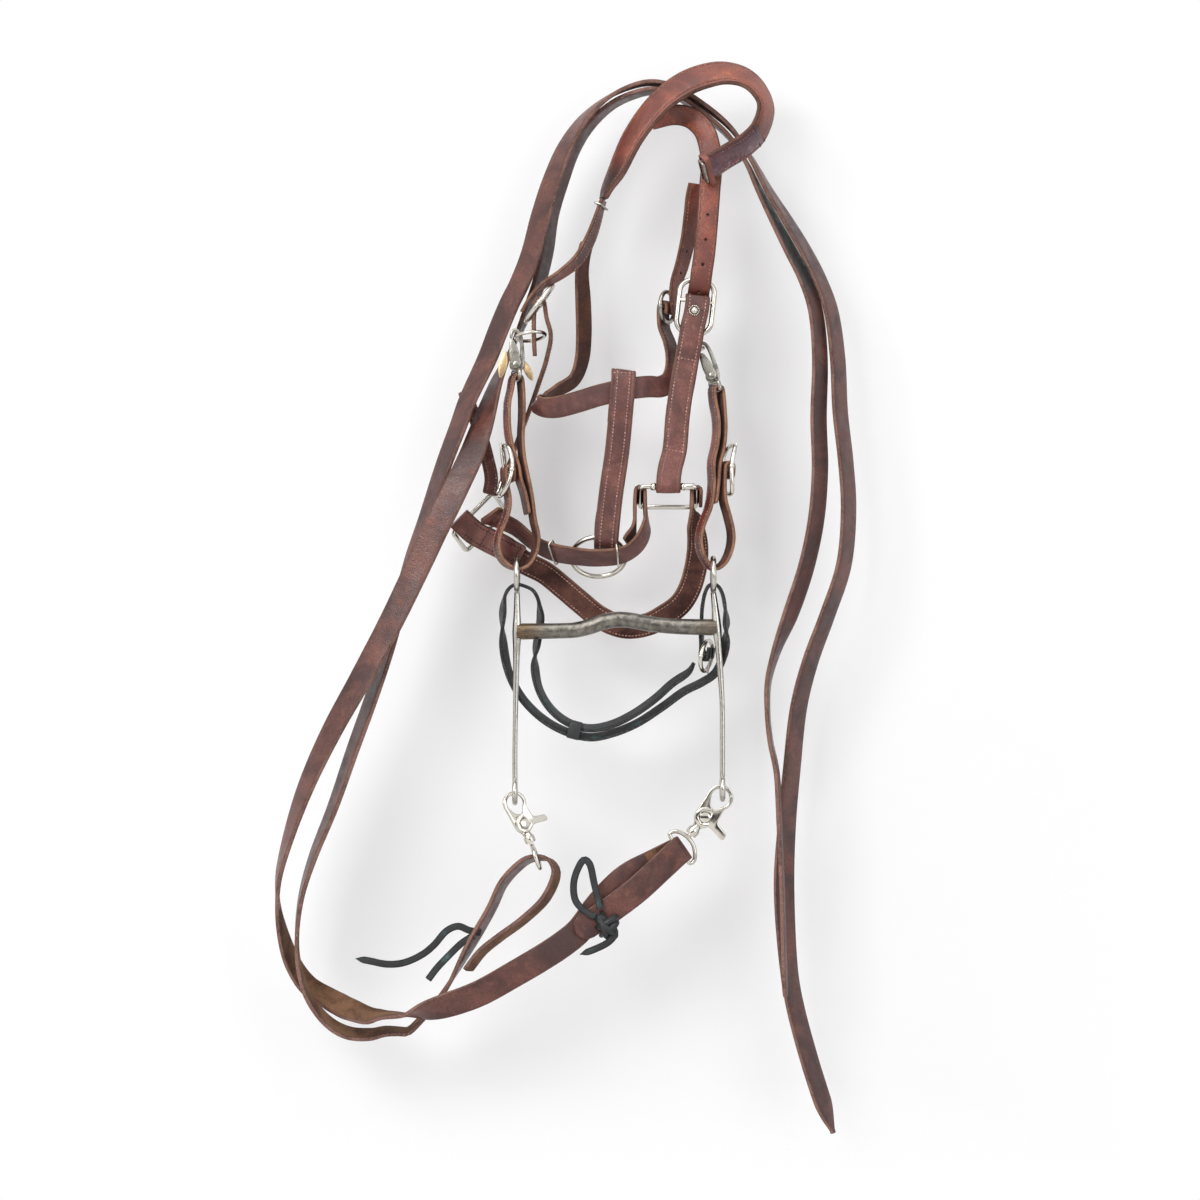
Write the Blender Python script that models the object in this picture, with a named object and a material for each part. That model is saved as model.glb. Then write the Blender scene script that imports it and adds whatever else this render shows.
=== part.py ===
"""Halter bridle: a leather halter with a curb bit in two hangers, a curb strap and split reins.

It hangs by its crown, as on a bridle hook. Millimetres in the lists, metres in the scene.
X runs to the right, Y away from the viewer, Z up. The origin is the hook's place under the crown.
"""

import math

import bmesh
import bpy
from mathutils import Matrix, Vector

MM = 0.001

# Clearances between separate pieces
FIT_GAP = 0.3
# Between the two ends of each rein where it is parted
PART_GAP = 0.8

# Leather, width and thickness
CROWN_WIDTH = 25.0
CROWN_THICK = 4.6
HALTER_WIDTH = 17.5
HALTER_THICK = 2.8
SIDE_WIDTH = 15.0
BILLET_WIDTH = 15.5
BILLET_THICK = 2.4
THROAT_WIDTH = 15.5
THROAT_THICK = 2.8
CHIN_WIDTH = 18.5
CHIN_THICK = 2.5
NOSE_WIDTH = 17.5
NOSE_THICK = 2.6
HANGER_WIDTH = 14.0
HANGER_THICK = 2.4
REIN_WIDTH = 19.0
REIN_THICK = 3.0
CURB_WIDTH = 11.0
CURB_THICK = 2.4
LACE_WIDTH = 5.0
LACE_THICK = 2.2
KEEPER_WIDTH = 9.0
KEEPER_THICK = 1.4

# Metal
BUCKLE_WIRE = 1.3
BAR_RADIUS = 1.5
TONGUE_RADIUS = 0.9
HALTER_RING_WIRE = 1.3
CHIN_RING_RADIUS = 19.5
CHIN_RING_WIRE = 1.9
STAPLE_WIRE = 0.7
SQUARE_WIRE = 1.8
SHANK_WIRE = 1.9
SHANK_EYE_RADIUS = 11.8
REIN_EYE_RADIUS = 7.8
MOUTHPIECE_RADIUS = 5.7
SNAP_PLATE = 3.4
SNAP_WIRE = 1.6

# Depth of the bit, and the height of the line that it swings about, through both upper eyes
BIT_DEPTH = -20.0
SWING_HEIGHT = -329.0
LEFT_SHANK_X = -124.0
RIGHT_SHANK_X = 16.0
# The reins are parted here, between the swinging bit and the part that lies still
REIN_PART_X = -209.0

# Places on the axes of the other hinges: two gates' rivets, three buckles' bars, two rein snaps' rivets
LEFT_GATE_RIVET = (-124.5, -11, -178.5)
RIGHT_GATE_RIVET = (16, -4, -186)
LEFT_HANGER_BAR = (-130.5, -16, -254)
RIGHT_HANGER_BAR = (26, -14.5, -251.5)
CURB_BAR = (11.5, -9.5, -387)
RIGHT_SNAP_RIVET = (10, BIT_DEPTH, -502)
LEFT_SNAP_RIVET = (-119.4, BIT_DEPTH, -506.6)


def clear_scene():
    for item in list(bpy.data.objects):
        bpy.data.objects.remove(item)


def material(name, colour, roughness, metallic):
    """One plain material for each kind of leather or metal."""
    made = bpy.data.materials.new(name)
    made.use_nodes = True
    shader = made.node_tree.nodes["Principled BSDF"]
    shader.inputs["Base Color"].default_value = (*colour, 1.0)
    shader.inputs["Roughness"].default_value = roughness
    shader.inputs["Metallic"].default_value = metallic
    made.diffuse_color = (*colour, 1.0)
    return made


def sample_rows(rows, step):
    """Rows of numbers read off a smooth curve through the given rows; the first three are a place."""
    def knot(start, end):
        gap = math.dist(start[:3], end[:3])
        return max(gap, 1e-6) ** 0.5

    def mix(first, second, start, end, at):
        share = (at - start) / (end - start)
        return [a + (b - a) * share for a, b in zip(first, second)]

    before = [2 * a - b for a, b in zip(rows[0], rows[1])]
    after = [2 * a - b for a, b in zip(rows[-1], rows[-2])]
    padded = [before, *rows, after]
    samples = [list(rows[0])]
    for index in range(1, len(padded) - 2):
        p0, p1, p2, p3 = padded[index - 1:index + 3]
        t0 = 0.0
        t1 = t0 + knot(p0, p1)
        t2 = t1 + knot(p1, p2)
        t3 = t2 + knot(p2, p3)
        count = max(1, math.ceil(math.dist(p1[:3], p2[:3]) / step))
        for number in range(1, count + 1):
            at = t1 + (t2 - t1) * number / count
            a1 = mix(p0, p1, t0, t1, at)
            a2 = mix(p1, p2, t1, t2, at)
            a3 = mix(p2, p3, t2, t3, at)
            b1 = mix(a1, a2, t0, t2, at)
            b2 = mix(a2, a3, t1, t3, at)
            samples.append(mix(b1, b2, t1, t2, at))
    return samples


def finish_object(name, built, finish):
    """Turns a bmesh in millimetres into a named object in metres, faces outward."""
    bmesh.ops.recalc_face_normals(built, faces=built.faces)
    bmesh.ops.scale(built, vec=(MM, MM, MM), verts=built.verts)
    mesh = bpy.data.meshes.new(name)
    built.to_mesh(mesh)
    built.free()
    mesh.materials.append(finish)
    item = bpy.data.objects.new(name, mesh)
    bpy.context.collection.objects.link(item)
    return item


def skin(name, rings, finish, closed=False, smooth=False):
    """Joins rings of points into one closed body."""
    built = bmesh.new()
    loops = [[built.verts.new(point) for point in ring] for ring in rings]
    pairs = list(zip(loops, loops[1:]))
    if closed:
        pairs.append((loops[-1], loops[0]))
    for first, second in pairs:
        for index in range(len(first)):
            follow = (index + 1) % len(first)
            built.faces.new((first[index], first[follow], second[follow], second[index]))
    if not closed:
        built.faces.new(loops[0])
        built.faces.new(list(reversed(loops[-1])))
    item = finish_object(name, built, finish)
    if smooth:
        item.data.shade_smooth()
        item.data.set_sharp_from_angle(angle=math.radians(50))
    return item


def tangents(places, closed=False):
    found = []
    for index in range(len(places)):
        if closed:
            before = places[index - 1]
            after = places[(index + 1) % len(places)]
        else:
            before = places[max(index - 1, 0)]
            after = places[min(index + 1, len(places) - 1)]
        found.append((after - before).normalized())
    return found


def faced(route):
    """Adds the across direction to a route of (x, y, z, turn).

    At turn 0 the strap's face is to the viewer; at turn 90 it is seen edge-on.
    """
    places = [Vector(point[:3]) for point in route]
    rows = []
    for point, along in zip(route, tangents(places)):
        side = Vector((-along.z, 0.0, along.x)).normalized()
        turn = math.radians(point[3])
        across = side * math.cos(turn) + Vector((0.0, math.sin(turn), 0.0))
        rows.append((*point[:3], *across))
    return rows


def lying(points, across):
    """Adds one fixed across direction to every point, for a strap that folds round a bar."""
    return [(*point, *across) for point in points]


def fold(bar, towards, radius, side, steps=6):
    """Half a turn round a bar, out towards one way; side is where it starts from."""
    centre = Vector(bar)
    outward = Vector(towards).normalized()
    begin = Vector(side)
    begin = (begin - outward * outward.dot(begin)).normalized()
    points = []
    for number in range(steps + 1):
        angle = math.pi * number / steps
        points.append(tuple(centre + radius * (begin * math.cos(angle) + outward * math.sin(angle))))
    return points


def strap(name, rows, width, thick, finish, step=9.0, ends=(1.0, 1.0)):
    """A flat strap along a route; ends are the widths of its first and last section, as shares."""
    samples = sample_rows(rows, step)
    places = [Vector(sample[:3]) for sample in samples]
    rings = []
    for index, (place, along) in enumerate(zip(places, tangents(places))):
        across = Vector(samples[index][3:6])
        across = (across - along * across.dot(along)).normalized()
        normal = along.cross(across)
        share = 1.0
        if index == 0:
            share = ends[0]
        elif index == len(places) - 1:
            share = ends[1]
        half = across * (width * share / 2)
        deep = normal * (thick / 2)
        rings.append((place + half + deep, place - half + deep, place - half - deep, place + half - deep))
    return skin(name, rings, finish)


def wire(name, points, radius, finish, sides=8, closed=False, normal=(0, 1, 0), radii=None, step=None):
    """A round bar along points; normal is roughly square to the plane that it lies in."""
    if step:
        points = [sample[:3] for sample in sample_rows([tuple(point) for point in points], step)]
    places = [Vector(point) for point in points]
    rings = []
    for index, (place, along) in enumerate(zip(places, tangents(places, closed))):
        up = Vector(normal)
        up = (up - along * up.dot(along)).normalized()
        out = along.cross(up)
        size = radii[index] if radii else radius
        ring = []
        for number in range(sides):
            angle = 2 * math.pi * number / sides
            ring.append(place + size * (out * math.cos(angle) + up * math.sin(angle)))
        rings.append(ring)
    return skin(name, rings, finish, closed=closed, smooth=True)


def oval(centre, first, second, count=20):
    """Points round an ellipse with the two given half axes."""
    middle = Vector(centre)
    one = Vector(first)
    two = Vector(second)
    points = []
    for number in range(count):
        angle = 2 * math.pi * number / count
        points.append(middle + one * math.cos(angle) + two * math.sin(angle))
    return points


def rounded_frame(centre, first, second, corner=0.3, steps=3):
    """Points round a rectangle with the two given half sides, its corners rounded by a share."""
    middle = Vector(centre)
    one = Vector(first)
    two = Vector(second)
    radius = corner * min(one.length, two.length)
    points = []
    for quarter, (sign_one, sign_two) in enumerate(((1, 1), (-1, 1), (-1, -1), (1, -1))):
        pivot = middle + one * sign_one + two * sign_two
        pivot = pivot - one.normalized() * sign_one * radius - two.normalized() * sign_two * radius
        for number in range(steps + 1):
            angle = math.pi / 2 * (quarter + number / steps)
            points.append(pivot + radius * (one.normalized() * math.cos(angle) + two.normalized() * math.sin(angle)))
    return points


def rod(name, start, end, radius, finish, sides=12):
    """A straight round rod."""
    along = Vector(end) - Vector(start)
    normal = Vector((0, 1, 0)) if abs(along.normalized().y) < 0.7 else Vector((0, 0, 1))
    return wire(name, (start, end), radius, finish, sides=sides, normal=normal)


def plate(name, outline, frame, low, high, finish):
    """A flat plate: an outline in a frame's first two directions, from low to high along its third."""
    built = bmesh.new()
    bottom = [built.verts.new(frame @ Vector((u, v, low))) for u, v in outline]
    top = [built.verts.new(frame @ Vector((u, v, high))) for u, v in outline]
    built.faces.new(bottom)
    built.faces.new(list(reversed(top)))
    for index in range(len(outline)):
        follow = (index + 1) % len(outline)
        built.faces.new((bottom[index], top[index], top[follow], bottom[follow]))
    return finish_object(name, built, finish)


def arc(centre, radius, start, end, steps):
    """Points of a flat arc, angles in degrees."""
    points = []
    for number in range(steps + 1):
        angle = math.radians(start + (end - start) * number / steps)
        points.append((centre[0] + radius * math.cos(angle), centre[1] + radius * math.sin(angle)))
    return points


def combine(item, tool, operation):
    """Joins a tool to an object, or cuts it away, and removes the tool."""
    change = item.modifiers.new("combine", "BOOLEAN")
    change.operation = operation
    change.object = tool
    change.solver = "EXACT"
    graph = bpy.context.evaluated_depsgraph_get()
    mesh = bpy.data.meshes.new_from_object(item.evaluated_get(graph))
    item.modifiers.clear()
    item.data = mesh
    bpy.data.objects.remove(tool)
    return item


def block(name, centre, along, across, sizes, finish):
    """A box with its sides along two given directions, for slots."""
    one = Vector(along).normalized()
    two = Vector(across)
    two = (two - one * two.dot(one)).normalized()
    three = one.cross(two)
    half = [size / 2 for size in sizes]
    rings = []
    for end in (-1, 1):
        middle = Vector(centre) + one * half[0] * end
        rings.append([middle + two * half[1] * a + three * half[2] * b for a, b in ((1, 1), (-1, 1), (-1, -1), (1, -1))])
    return skin(name, rings, finish)


def buckle(name, centre, long_way, bar_way, half_long, half_wide, finish):
    """An oval frame with a bar across its middle."""
    long_unit = Vector(long_way).normalized()
    bar_unit = Vector(bar_way).normalized()
    normal = long_unit.cross(bar_unit)
    item = wire(name, oval(centre, long_unit * half_long, bar_unit * half_wide), BUCKLE_WIRE, finish,
                closed=True, normal=normal)
    reach = bar_unit * half_wide
    bar = rod(name + "_bar", Vector(centre) - reach, Vector(centre) + reach, BAR_RADIUS, finish, sides=10)
    return combine(item, bar, "UNION")


def tongue_slot(item, centre, long_way, bar_way, finish):
    """A slot in the fold of leather round a buckle's bar, where the tongue's eye turns."""
    eye = 2 * (BAR_RADIUS + 2 * FIT_GAP + 2 * TONGUE_RADIUS)
    slot = block("slot", centre, long_way, bar_way, (2 * eye, 2 * TONGUE_RADIUS + 4 * FIT_GAP, 2 * eye), finish)
    return combine(item, slot, "DIFFERENCE")


def band(name, centre, along, across, half_wide, half_deep, width, thick, finish):
    """A flat keeper loop round a strap."""
    one = Vector(across).normalized()
    way = Vector(along)
    way = (way - one * way.dot(one)).normalized()
    deep = way.cross(one)
    rings = []
    points = rounded_frame(centre, one * half_wide, deep * half_deep, corner=0.2, steps=2)
    for place, run in zip(points, tangents(points, closed=True)):
        out = run.cross(way)
        side = way * (width / 2)
        thick_way = out * (thick / 2)
        rings.append((place + side + thick_way, place - side + thick_way,
                      place - side - thick_way, place + side - thick_way))
    return skin(name, rings, finish, closed=True)


def crown_and_head(leather, lining, nickel):
    """The padded crown, its loop and keeper, and the strap that runs under it to the right buckle."""
    crown = [(-62, -14, -60, 80), (-59, -14, -52, 65), (-53.5, -14, -42, 45), (-40.5, -14, -15, 38),
             (-22.5, -13, 8.5, 38), (-4.5, -10, 22.5, 38), (11, -8, 29, 38), (24.5, -8, 31, 38),
             (38, -10, 27.5, 36), (48, -13, 18.5, 32), (53.5, -17, 4.5, 28), (49, -21, -11.5, 24),
             (40.5, -26, -21.5, 20), (23, -30, -33, 18), (8.5, -32, -43, 18)]
    strap("crown_pad", faced(crown), CROWN_WIDTH, CROWN_THICK, lining)
    head = [(-33, 4, -16, -50), (-24, 5, -3, -40), (-11.5, 4, 3, -30), (0.5, 2, 0.5, -20),
            (9.5, -3, -8.5, -10), (13.5, -9, -21, 0), (15, -13, -34.5, 0), (13.5, -17, -54, 0),
            (11.5, -20, -80, 0), (9.5, -21, -101, 0), (7.5, -21, -115, 0), (7, -20, -120, 0),
            (6, -16, -125, 0), (5.5, -10.5, -130, 0), (4.5, -8, -137, 0), (2, -7.5, -149, 0)]
    strap("head_strap", faced(head), BILLET_WIDTH, BILLET_THICK, leather, step=8, ends=(1, 0.5))
    reach = BILLET_WIDTH / 2 + 2 * FIT_GAP + STAPLE_WIRE
    deep = BILLET_THICK / 2 + 2 * FIT_GAP + STAPLE_WIRE
    side = Vector((0.25, 0.96, -0.09))
    along = Vector((-0.35, 0, -0.94))
    frame = rounded_frame((-63.9, -13.9, -65.2), side.normalized() * reach, along.cross(side).normalized() * deep)
    wire("crown_loop_left", frame, STAPLE_WIRE, nickel, closed=True, normal=along)


def left_cheek(leather, nickel):
    """The billet, the buckle and the side strap of the halter's left cheek, down to the left square."""
    billet = [(-62.3, -14, -60.9, 80), (-64, -13.8, -65.4, 78), (-67, -13, -75.5, 72), (-72.5, -12.5, -90, 66),
              (-80.5, -12.5, -103.5, 66), (-93, -13.5, -114, 74), (-105.5, -15, -122, 82),
              (-115, -15, -131.5, 88), (-121, -15, -141, 90)]
    strap("cheek_billet_left", faced(billet), BILLET_WIDTH, BILLET_THICK, leather, step=8, ends=(1, 0.5))
    bar_way = (0.0, 1.0, 0.0)
    centre = (-108, -15, -135)
    long_way = (0.60, 0, 0.80)
    buckle("crown_buckle_left", centre, long_way, bar_way, 16, 12, nickel)
    bend = BAR_RADIUS + FIT_GAP + HALTER_THICK / 2 + 0.1
    down = Vector((0.2, 0, -0.98))
    points = [(-111.5, -11, -172), (-112, -11.5, -158), (-112, -14.8, -145)]
    points += fold(centre, -down, bend, (-0.98, 0, -0.2))
    points += [(-103.2, -14.8, -145), (-100.2, -11.5, -157), (-103, -4, -173), (-109.5, 6, -192),
               (-116.5, 10, -211.5), (-124.5, 10, -232), (-131, 10, -250), (-137, 10, -263.5)]
    strap("side_strap_left", lying(points, (0, 1, 0)), SIDE_WIDTH, HALTER_THICK, leather, step=6)
    tab = [(-163, 8, -196), (-157, 8, -211), (-151, 6, -227), (-146, 3, -245), (-143, -1.5, -260),
           (-144.5, -3.5, -271)]
    strap("square_tab_left", lying(tab, (0.8, 0.6, 0.1)), 11, BILLET_THICK, leather)


def throat_and_jaw(leather, nickel):
    """The throat strap with its billet and rear buckle, and the jaw strap that hangs on it."""
    centre = (-16.5, -3, -136.5)
    bar_way = (0.5, 0.87, 0)
    billet = [(3, -8, -58, 30), (1.5, -6, -70.5, 40), (-1.5, -3.5, -88, 50), (-6, -2, -106.5, 55),
              (-10, -3.5, -119.5, 60), (-11.2, -6, -136.5, 60), (-10.8, -6, -147, 60)]
    strap("billet_right_rear", faced(billet), BILLET_WIDTH, BILLET_THICK, leather, step=8, ends=(1, 0.5))
    buckle("buckle_right_rear", centre, (0, 0, 1), bar_way, 11, 10.6, nickel)
    bend = BAR_RADIUS + FIT_GAP + THROAT_THICK / 2
    out = Vector((0.87, -0.5, 0)).normalized()
    rows = faced([(-66, 4, -88, 62), (-72, 4, -98, 60), (-77.5, 4, -111, 58), (-77, 5, -131, 50),
                  (-76.5, 6, -156, 50), (-78, 6, -174, 55), (-83.5, 4, -188, 62), (-96.5, -2, -196.5, 68),
                  (-106.5, -10, -202, 88), (-109.5, -17, -206.5, 108), (-106, -23, -209.5, 140),
                  (-97, -26, -210, 165), (-82, -27, -206.5, 178), (-66, -25.6, -201.5, 180), (-56, -25.1, -199, 180),
                  (-46, -25, -196.8, 180), (-37, -24.3, -195.6, 180), (-29, -18.5, -194.6, 180),
                  (-21, -10, -194, 178), (-14.5, -6.5, -190, 160), (-12, -4, -182, 140), (-12.8, -3, -170, 125),
                  (-15.4, -2.4, -160, 120)])
    rows += lying([(-18.6, -1.6, -152), (-19.4, -1.4, -144)], bar_way)
    rows += lying(fold(centre, (0, 0, 1), bend, -out), bar_way)
    rows += lying([(-14.4, -4.3, -142)], bar_way)
    strap("throatlatch", rows, THROAT_WIDTH, THROAT_THICK, leather, step=7)
    across = (0.99, 0, -0.12)
    bend = THROAT_THICK / 2 + 2 * FIT_GAP + HALTER_THICK / 2 + 0.3
    points = [(-51, -20, -222), (-49.8, -21, -208), (-48.5, -21.4, -197)]
    points += fold((-48, -25, -188), (0, 0, 1), bend, (0, 1, 0))
    points += [(-48.6, -28.7, -198), (-49.5, -28.5, -208), (-50.2, -27.4, -216), (-52.5, -24.5, -240),
               (-57, -19.8, -271.5), (-59.3, -17.8, -292)]
    points += fold((-60.4, -11.7, -305.1), (0, 0, -1), 5.7, (0, -1, 0))
    points += [(-59.8, -8.5, -292), (-58.6, -12, -284)]
    strap("jaw_strap", lying(points, across), HALTER_WIDTH, HALTER_THICK, leather, step=7)


def right_cheek(leather, nickel):
    """The front buckle and the doubled cheek strap down to the right square, with its rivet."""
    bar = (5, -16, -133.5)
    frame = rounded_frame((3.4, -16, -137.5), (0.11 * 18.8, 0, 0.99 * 18.8), (12.5 * 0.99, 0, -12.5 * 0.11),
                          corner=0.7, steps=5)
    item = wire("buckle_right_front", frame, BUCKLE_WIRE, nickel, closed=True, normal=(0, 1, 0))
    reach = Vector((0.99, 0, -0.11)) * 12
    middle = Vector((4.0, -16, -133.5))
    combine(item, rod("bar", middle - reach, middle + reach, BAR_RADIUS, nickel, sides=10), "UNION")
    bend = BAR_RADIUS + FIT_GAP + HALTER_THICK / 2 + 0.1
    lower = SQUARE_WIRE + FIT_GAP + HALTER_THICK / 2
    points = [(-7.5, -14.4, -202), (-5.2, -14.4, -190), (-3, -14.2, -177), (-0.2, -13, -162),
              (1.6, -12.5, -151), (4, -12.5, -141)]
    points += fold(bar, (0, 0, 1), bend, (0, 1, 0))
    points += [(4, -19.5, -141), (1.6, -19.5, -151), (-0.2, -19, -162), (-3.3, -17.9, -178), (-6.5, -17.8, -195),
               (-9.5, -17.8, -217.5), (-11.5, -17.8, -240), (-14.5, -18.4, -252), (-15.6, -19.3, -259)]
    rows = lying(points, (0.99, 0, -0.14))
    rows += lying(fold((-16, -16, -266), (0, 0, -1), lower, (0, -1, 0)), (1, 0, 0))
    rows += lying([(-15.6, -12.7, -259), (-14.5, -13.8, -252), (-11.5, -14.4, -240), (-9.5, -14.4, -217.5),
                   (-8.2, -14.4, -206)], (0.99, 0, -0.14))
    strap("cheek_strap_right", rows, HALTER_WIDTH, HALTER_THICK, leather, step=7)
    spot = Vector((2.5, -21.4, -140.5))
    cap = wire("rivet_right", (spot, spot - Vector((0, 1.2, 0)), spot - Vector((0, 1.8, 0))), 4, nickel,
               sides=16, normal=(0, 0, 1), radii=(4.2, 3.6, 2.0))
    return cap


def squares_and_nose(leather, nickel):
    """The two square rings, the chin strap in front with its ring, and the noseband behind."""
    right_side = Vector((0, 0.8, -0.6))
    top = Vector((-15.9, -16, -266))
    frame = rounded_frame(top + right_side * 11.7, (20.1, 0, 0), right_side * 11.7, corner=0.22, steps=2)
    wire("square_right", frame, SQUARE_WIRE, nickel, closed=True, normal=(0, 0.6, 0.8))
    long_bar = Vector((-0.71, 0, -0.71))
    left_side = Vector((0.40, 0.72, -0.56))
    middle = Vector((-156.5, 3, -284))
    frame = rounded_frame(middle + left_side * 11.5, long_bar * 20.5 / long_bar.length,
                          left_side.normalized() * 11.5, corner=0.25, steps=2)
    wire("square_left", frame, SQUARE_WIRE, nickel, closed=True, normal=long_bar.cross(left_side))

    near_up = (0, -0.8, 0.6)
    bend = SQUARE_WIRE + FIT_GAP + CHIN_THICK / 2
    rows = lying([(-144, -10, -285.5), (-138.5, -3.8, -288.8), (-126, -3, -295)], near_up)
    rows += lying([(-115, -3.2, -304), (-104.5, -6.5, -310.5), (-93, -15, -314), (-80, -22, -316),
                   (-67.5, -25, -317), (-47.5, -25, -314.5)], near_up)
    rows += lying([(-37, -23, -306.5), (-31.5, -19.5, -294)], (-0.2, -0.8, 0.57))
    rows += lying([(-32.5, -13, -281.5)], near_up)
    rows += lying(fold((-36, -6.6, -273), (0, 0.6, 0.8), bend, (1, 0, 0)), near_up)
    rows += lying([(-39.9, -12, -280.5), (-39.8, -16, -289), (-41, -19, -298), (-46, -20.5, -306)], near_up)
    strap("chin_strap", rows, CHIN_WIDTH, CHIN_THICK, leather, step=5)
    ring = oval((-66, -4, -316), (CHIN_RING_RADIUS, 0, 0), (0, -9.5, 14), 32)
    wire("chin_ring", ring, CHIN_RING_WIRE, nickel, closed=True, normal=(0, 14, 9.5))
    reach = CHIN_WIDTH / 2 + FIT_GAP + STAPLE_WIRE
    deep = CHIN_THICK / 2 + 3 * FIT_GAP + STAPLE_WIRE
    for side, spot, along in (("left", (-97.6, -11.3, -312.9), (0.80, -0.55, -0.24)),
                              ("right", (-52.5, -25.3, -315.3), (0.99, 0.03, 0.12))):
        way = Vector(along).normalized()
        one = Vector(near_up)
        one = (one - way * one.dot(way)).normalized()
        frame = rounded_frame(spot, one * reach, way.cross(one) * deep, corner=0.5, steps=2)
        wire("chin_wire_" + side, frame, STAPLE_WIRE, nickel, sides=6, closed=True, normal=way)

    bend = SQUARE_WIRE + FIT_GAP + NOSE_THICK / 2
    at_bar = (0.71, 0, 0.71)
    rows = lying([(-146.5, 0.4, -303.5), (-155, 0, -298.5)], (0.6, -0.1, 0.8))
    rows += lying(fold((-163.6, 3, -291.1), (-0.71, 0, 0.71), bend, (0, -1, 0)), at_bar)
    rows += lying([(-155, 6.3, -299)], (0.6, -0.15, 0.78))
    rows += faced([(-144, 6.5, -304, -15), (-132.5, 6.5, -309.5, -20), (-120, 6, -319.5, -20),
                   (-104.5, 6, -327.5, -20), (-92, 6, -337.5, -20), (-79, 6, -348.5, -20), (-65, 6, -359.5, -20),
                   (-47, 6, -366.5, -20), (-30, 6, -364.5, -20), (-18.5, 6, -358.5, -20), (-7, 6, -350, -20),
                   (0, 6, -338.5, -20), (4.5, 5, -322, -22), (5.5, 2, -309, -32), (4, -4, -297, -48)])
    rows += lying([(1.9, -9.8, -286)], (-0.3, -0.8, 0.52))
    rows += lying([(0.9, -9.6, -277.4)], near_up)
    rows += lying(fold((4.2, -6.6, -273), (0, 0.6, 0.8), bend, (-1, 0, 0)), near_up)
    rows += lying([(7.5, -8.8, -276)], near_up)
    strap("noseband", rows, NOSE_WIDTH, NOSE_THICK, leather, step=6)


def hook_plate(frame, low, high, finish, name):
    """The hook half of a hanger snap: boss, spine and the curl that takes the halter's ring."""
    outline = [(5, -2.5), (5.6, 2), (5.2, 9), (4.4, 16), (3.2, 21.5), (1.2, 25), (-1.6, 26.3), (-4.4, 25.2),
               (-5.8, 22.8), (-5.8, 18.6), (-3.9, 18.6), (-3.5, 22.3), (-2.2, 23.5), (-0.7, 23.3), (0.6, 21.3),
               (1.6, 16), (2.2, 9), (2.2, 5.2), (0, 5.4), (-3.2, 4.4), (-5, 1.5), (-5.2, -2), (-2.8, -4.8),
               (2.8, -4.8)]
    return plate(name, outline, frame, low, high, finish)


def hanger_snap(side, rivet, up, bar_way, nickel):
    """One snap above a bit hanger: a hook with a loop for the strap, and a sprung gate on a rivet."""
    up = Vector(up).normalized()
    right = Vector((up.z, 0, -up.x))
    back = Vector((0, 1, 0))
    frame = Matrix((
        (right.x, up.x, back.x, rivet[0]),
        (right.y, up.y, back.y, rivet[1]),
        (right.z, up.z, back.z, rivet[2]),
        (0, 0, 0, 1)))
    half = SNAP_PLATE / 2
    hook = hook_plate(frame, -half, half, nickel, "hanger_snap_" + side)
    reach = Vector(bar_way).normalized() * (HANGER_WIDTH / 2 + FIT_GAP + BAR_RADIUS + 0.2)
    top = Vector(rivet) - up * 4.6
    low = Vector(rivet) - up * 10.6
    loop = rounded_frame((top + low) / 2, (top - low) / 2, reach, corner=0.5, steps=2)
    combine(hook, wire("loop", loop, BAR_RADIUS, nickel, closed=True, normal=up.cross(reach)), "UNION")
    gate_low = -half - FIT_GAP - 1.8
    front = Vector((0, gate_low - 1.0, 0))
    pin = rod("pin", Vector(rivet), Vector(rivet) + front, 1.5, nickel)
    combine(hook, pin, "UNION")
    head = Vector(rivet) + Vector((0, gate_low - FIT_GAP, 0))
    combine(hook, rod("head", head, head - Vector((0, 0.9, 0)), 2.4, nickel), "UNION")
    outline = [(3.3, 0.3), (2.4, 2.4), (0.6, 3.5), (-1.4, 4), (-2.6, 9), (-3.7, 17.6), (-5.6, 17.6), (-5.3, 8),
               (-4.2, 1), (-2.7, -1.6), (-1.4, -2.7), (1.1, -2.8)]
    gate = plate("hanger_gate_" + side, outline, frame, gate_low, gate_low + 1.8, nickel)
    bore = rod("bore", Vector(rivet) - Vector((0, 9, 0)), Vector(rivet) + Vector((0, 9, 0)), 1.5 + FIT_GAP, nickel)
    combine(gate, bore, "DIFFERENCE")
    return low


def bowed_buckle(name, first, last, bar, bar_way, half_wide, finish):
    """A bowed frame from its top end to its bottom end; its bar lies off the line between them."""
    top = Vector(first)
    bottom = Vector(last)
    centre = (top + bottom) / 2
    long_half = (top - bottom) / 2
    reach = Vector(bar_way).normalized() * half_wide
    bow = Vector(bar) - centre
    places = []
    for number in range(28):
        angle = 2 * math.pi * number / 28
        share = math.copysign(abs(math.cos(angle)) ** 0.6, math.cos(angle))
        width = math.copysign(abs(math.sin(angle)) ** 0.6, math.sin(angle))
        places.append(centre + long_half * share + reach * width + bow * (1 - share * share))
    item = wire(name, places, BUCKLE_WIRE, finish, closed=True, normal=long_half.cross(reach))
    end = Vector(bar_way).normalized() * half_wide
    return combine(item, rod("bar", Vector(bar) - end, Vector(bar) + end, BAR_RADIUS, finish, sides=10), "UNION")


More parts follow.
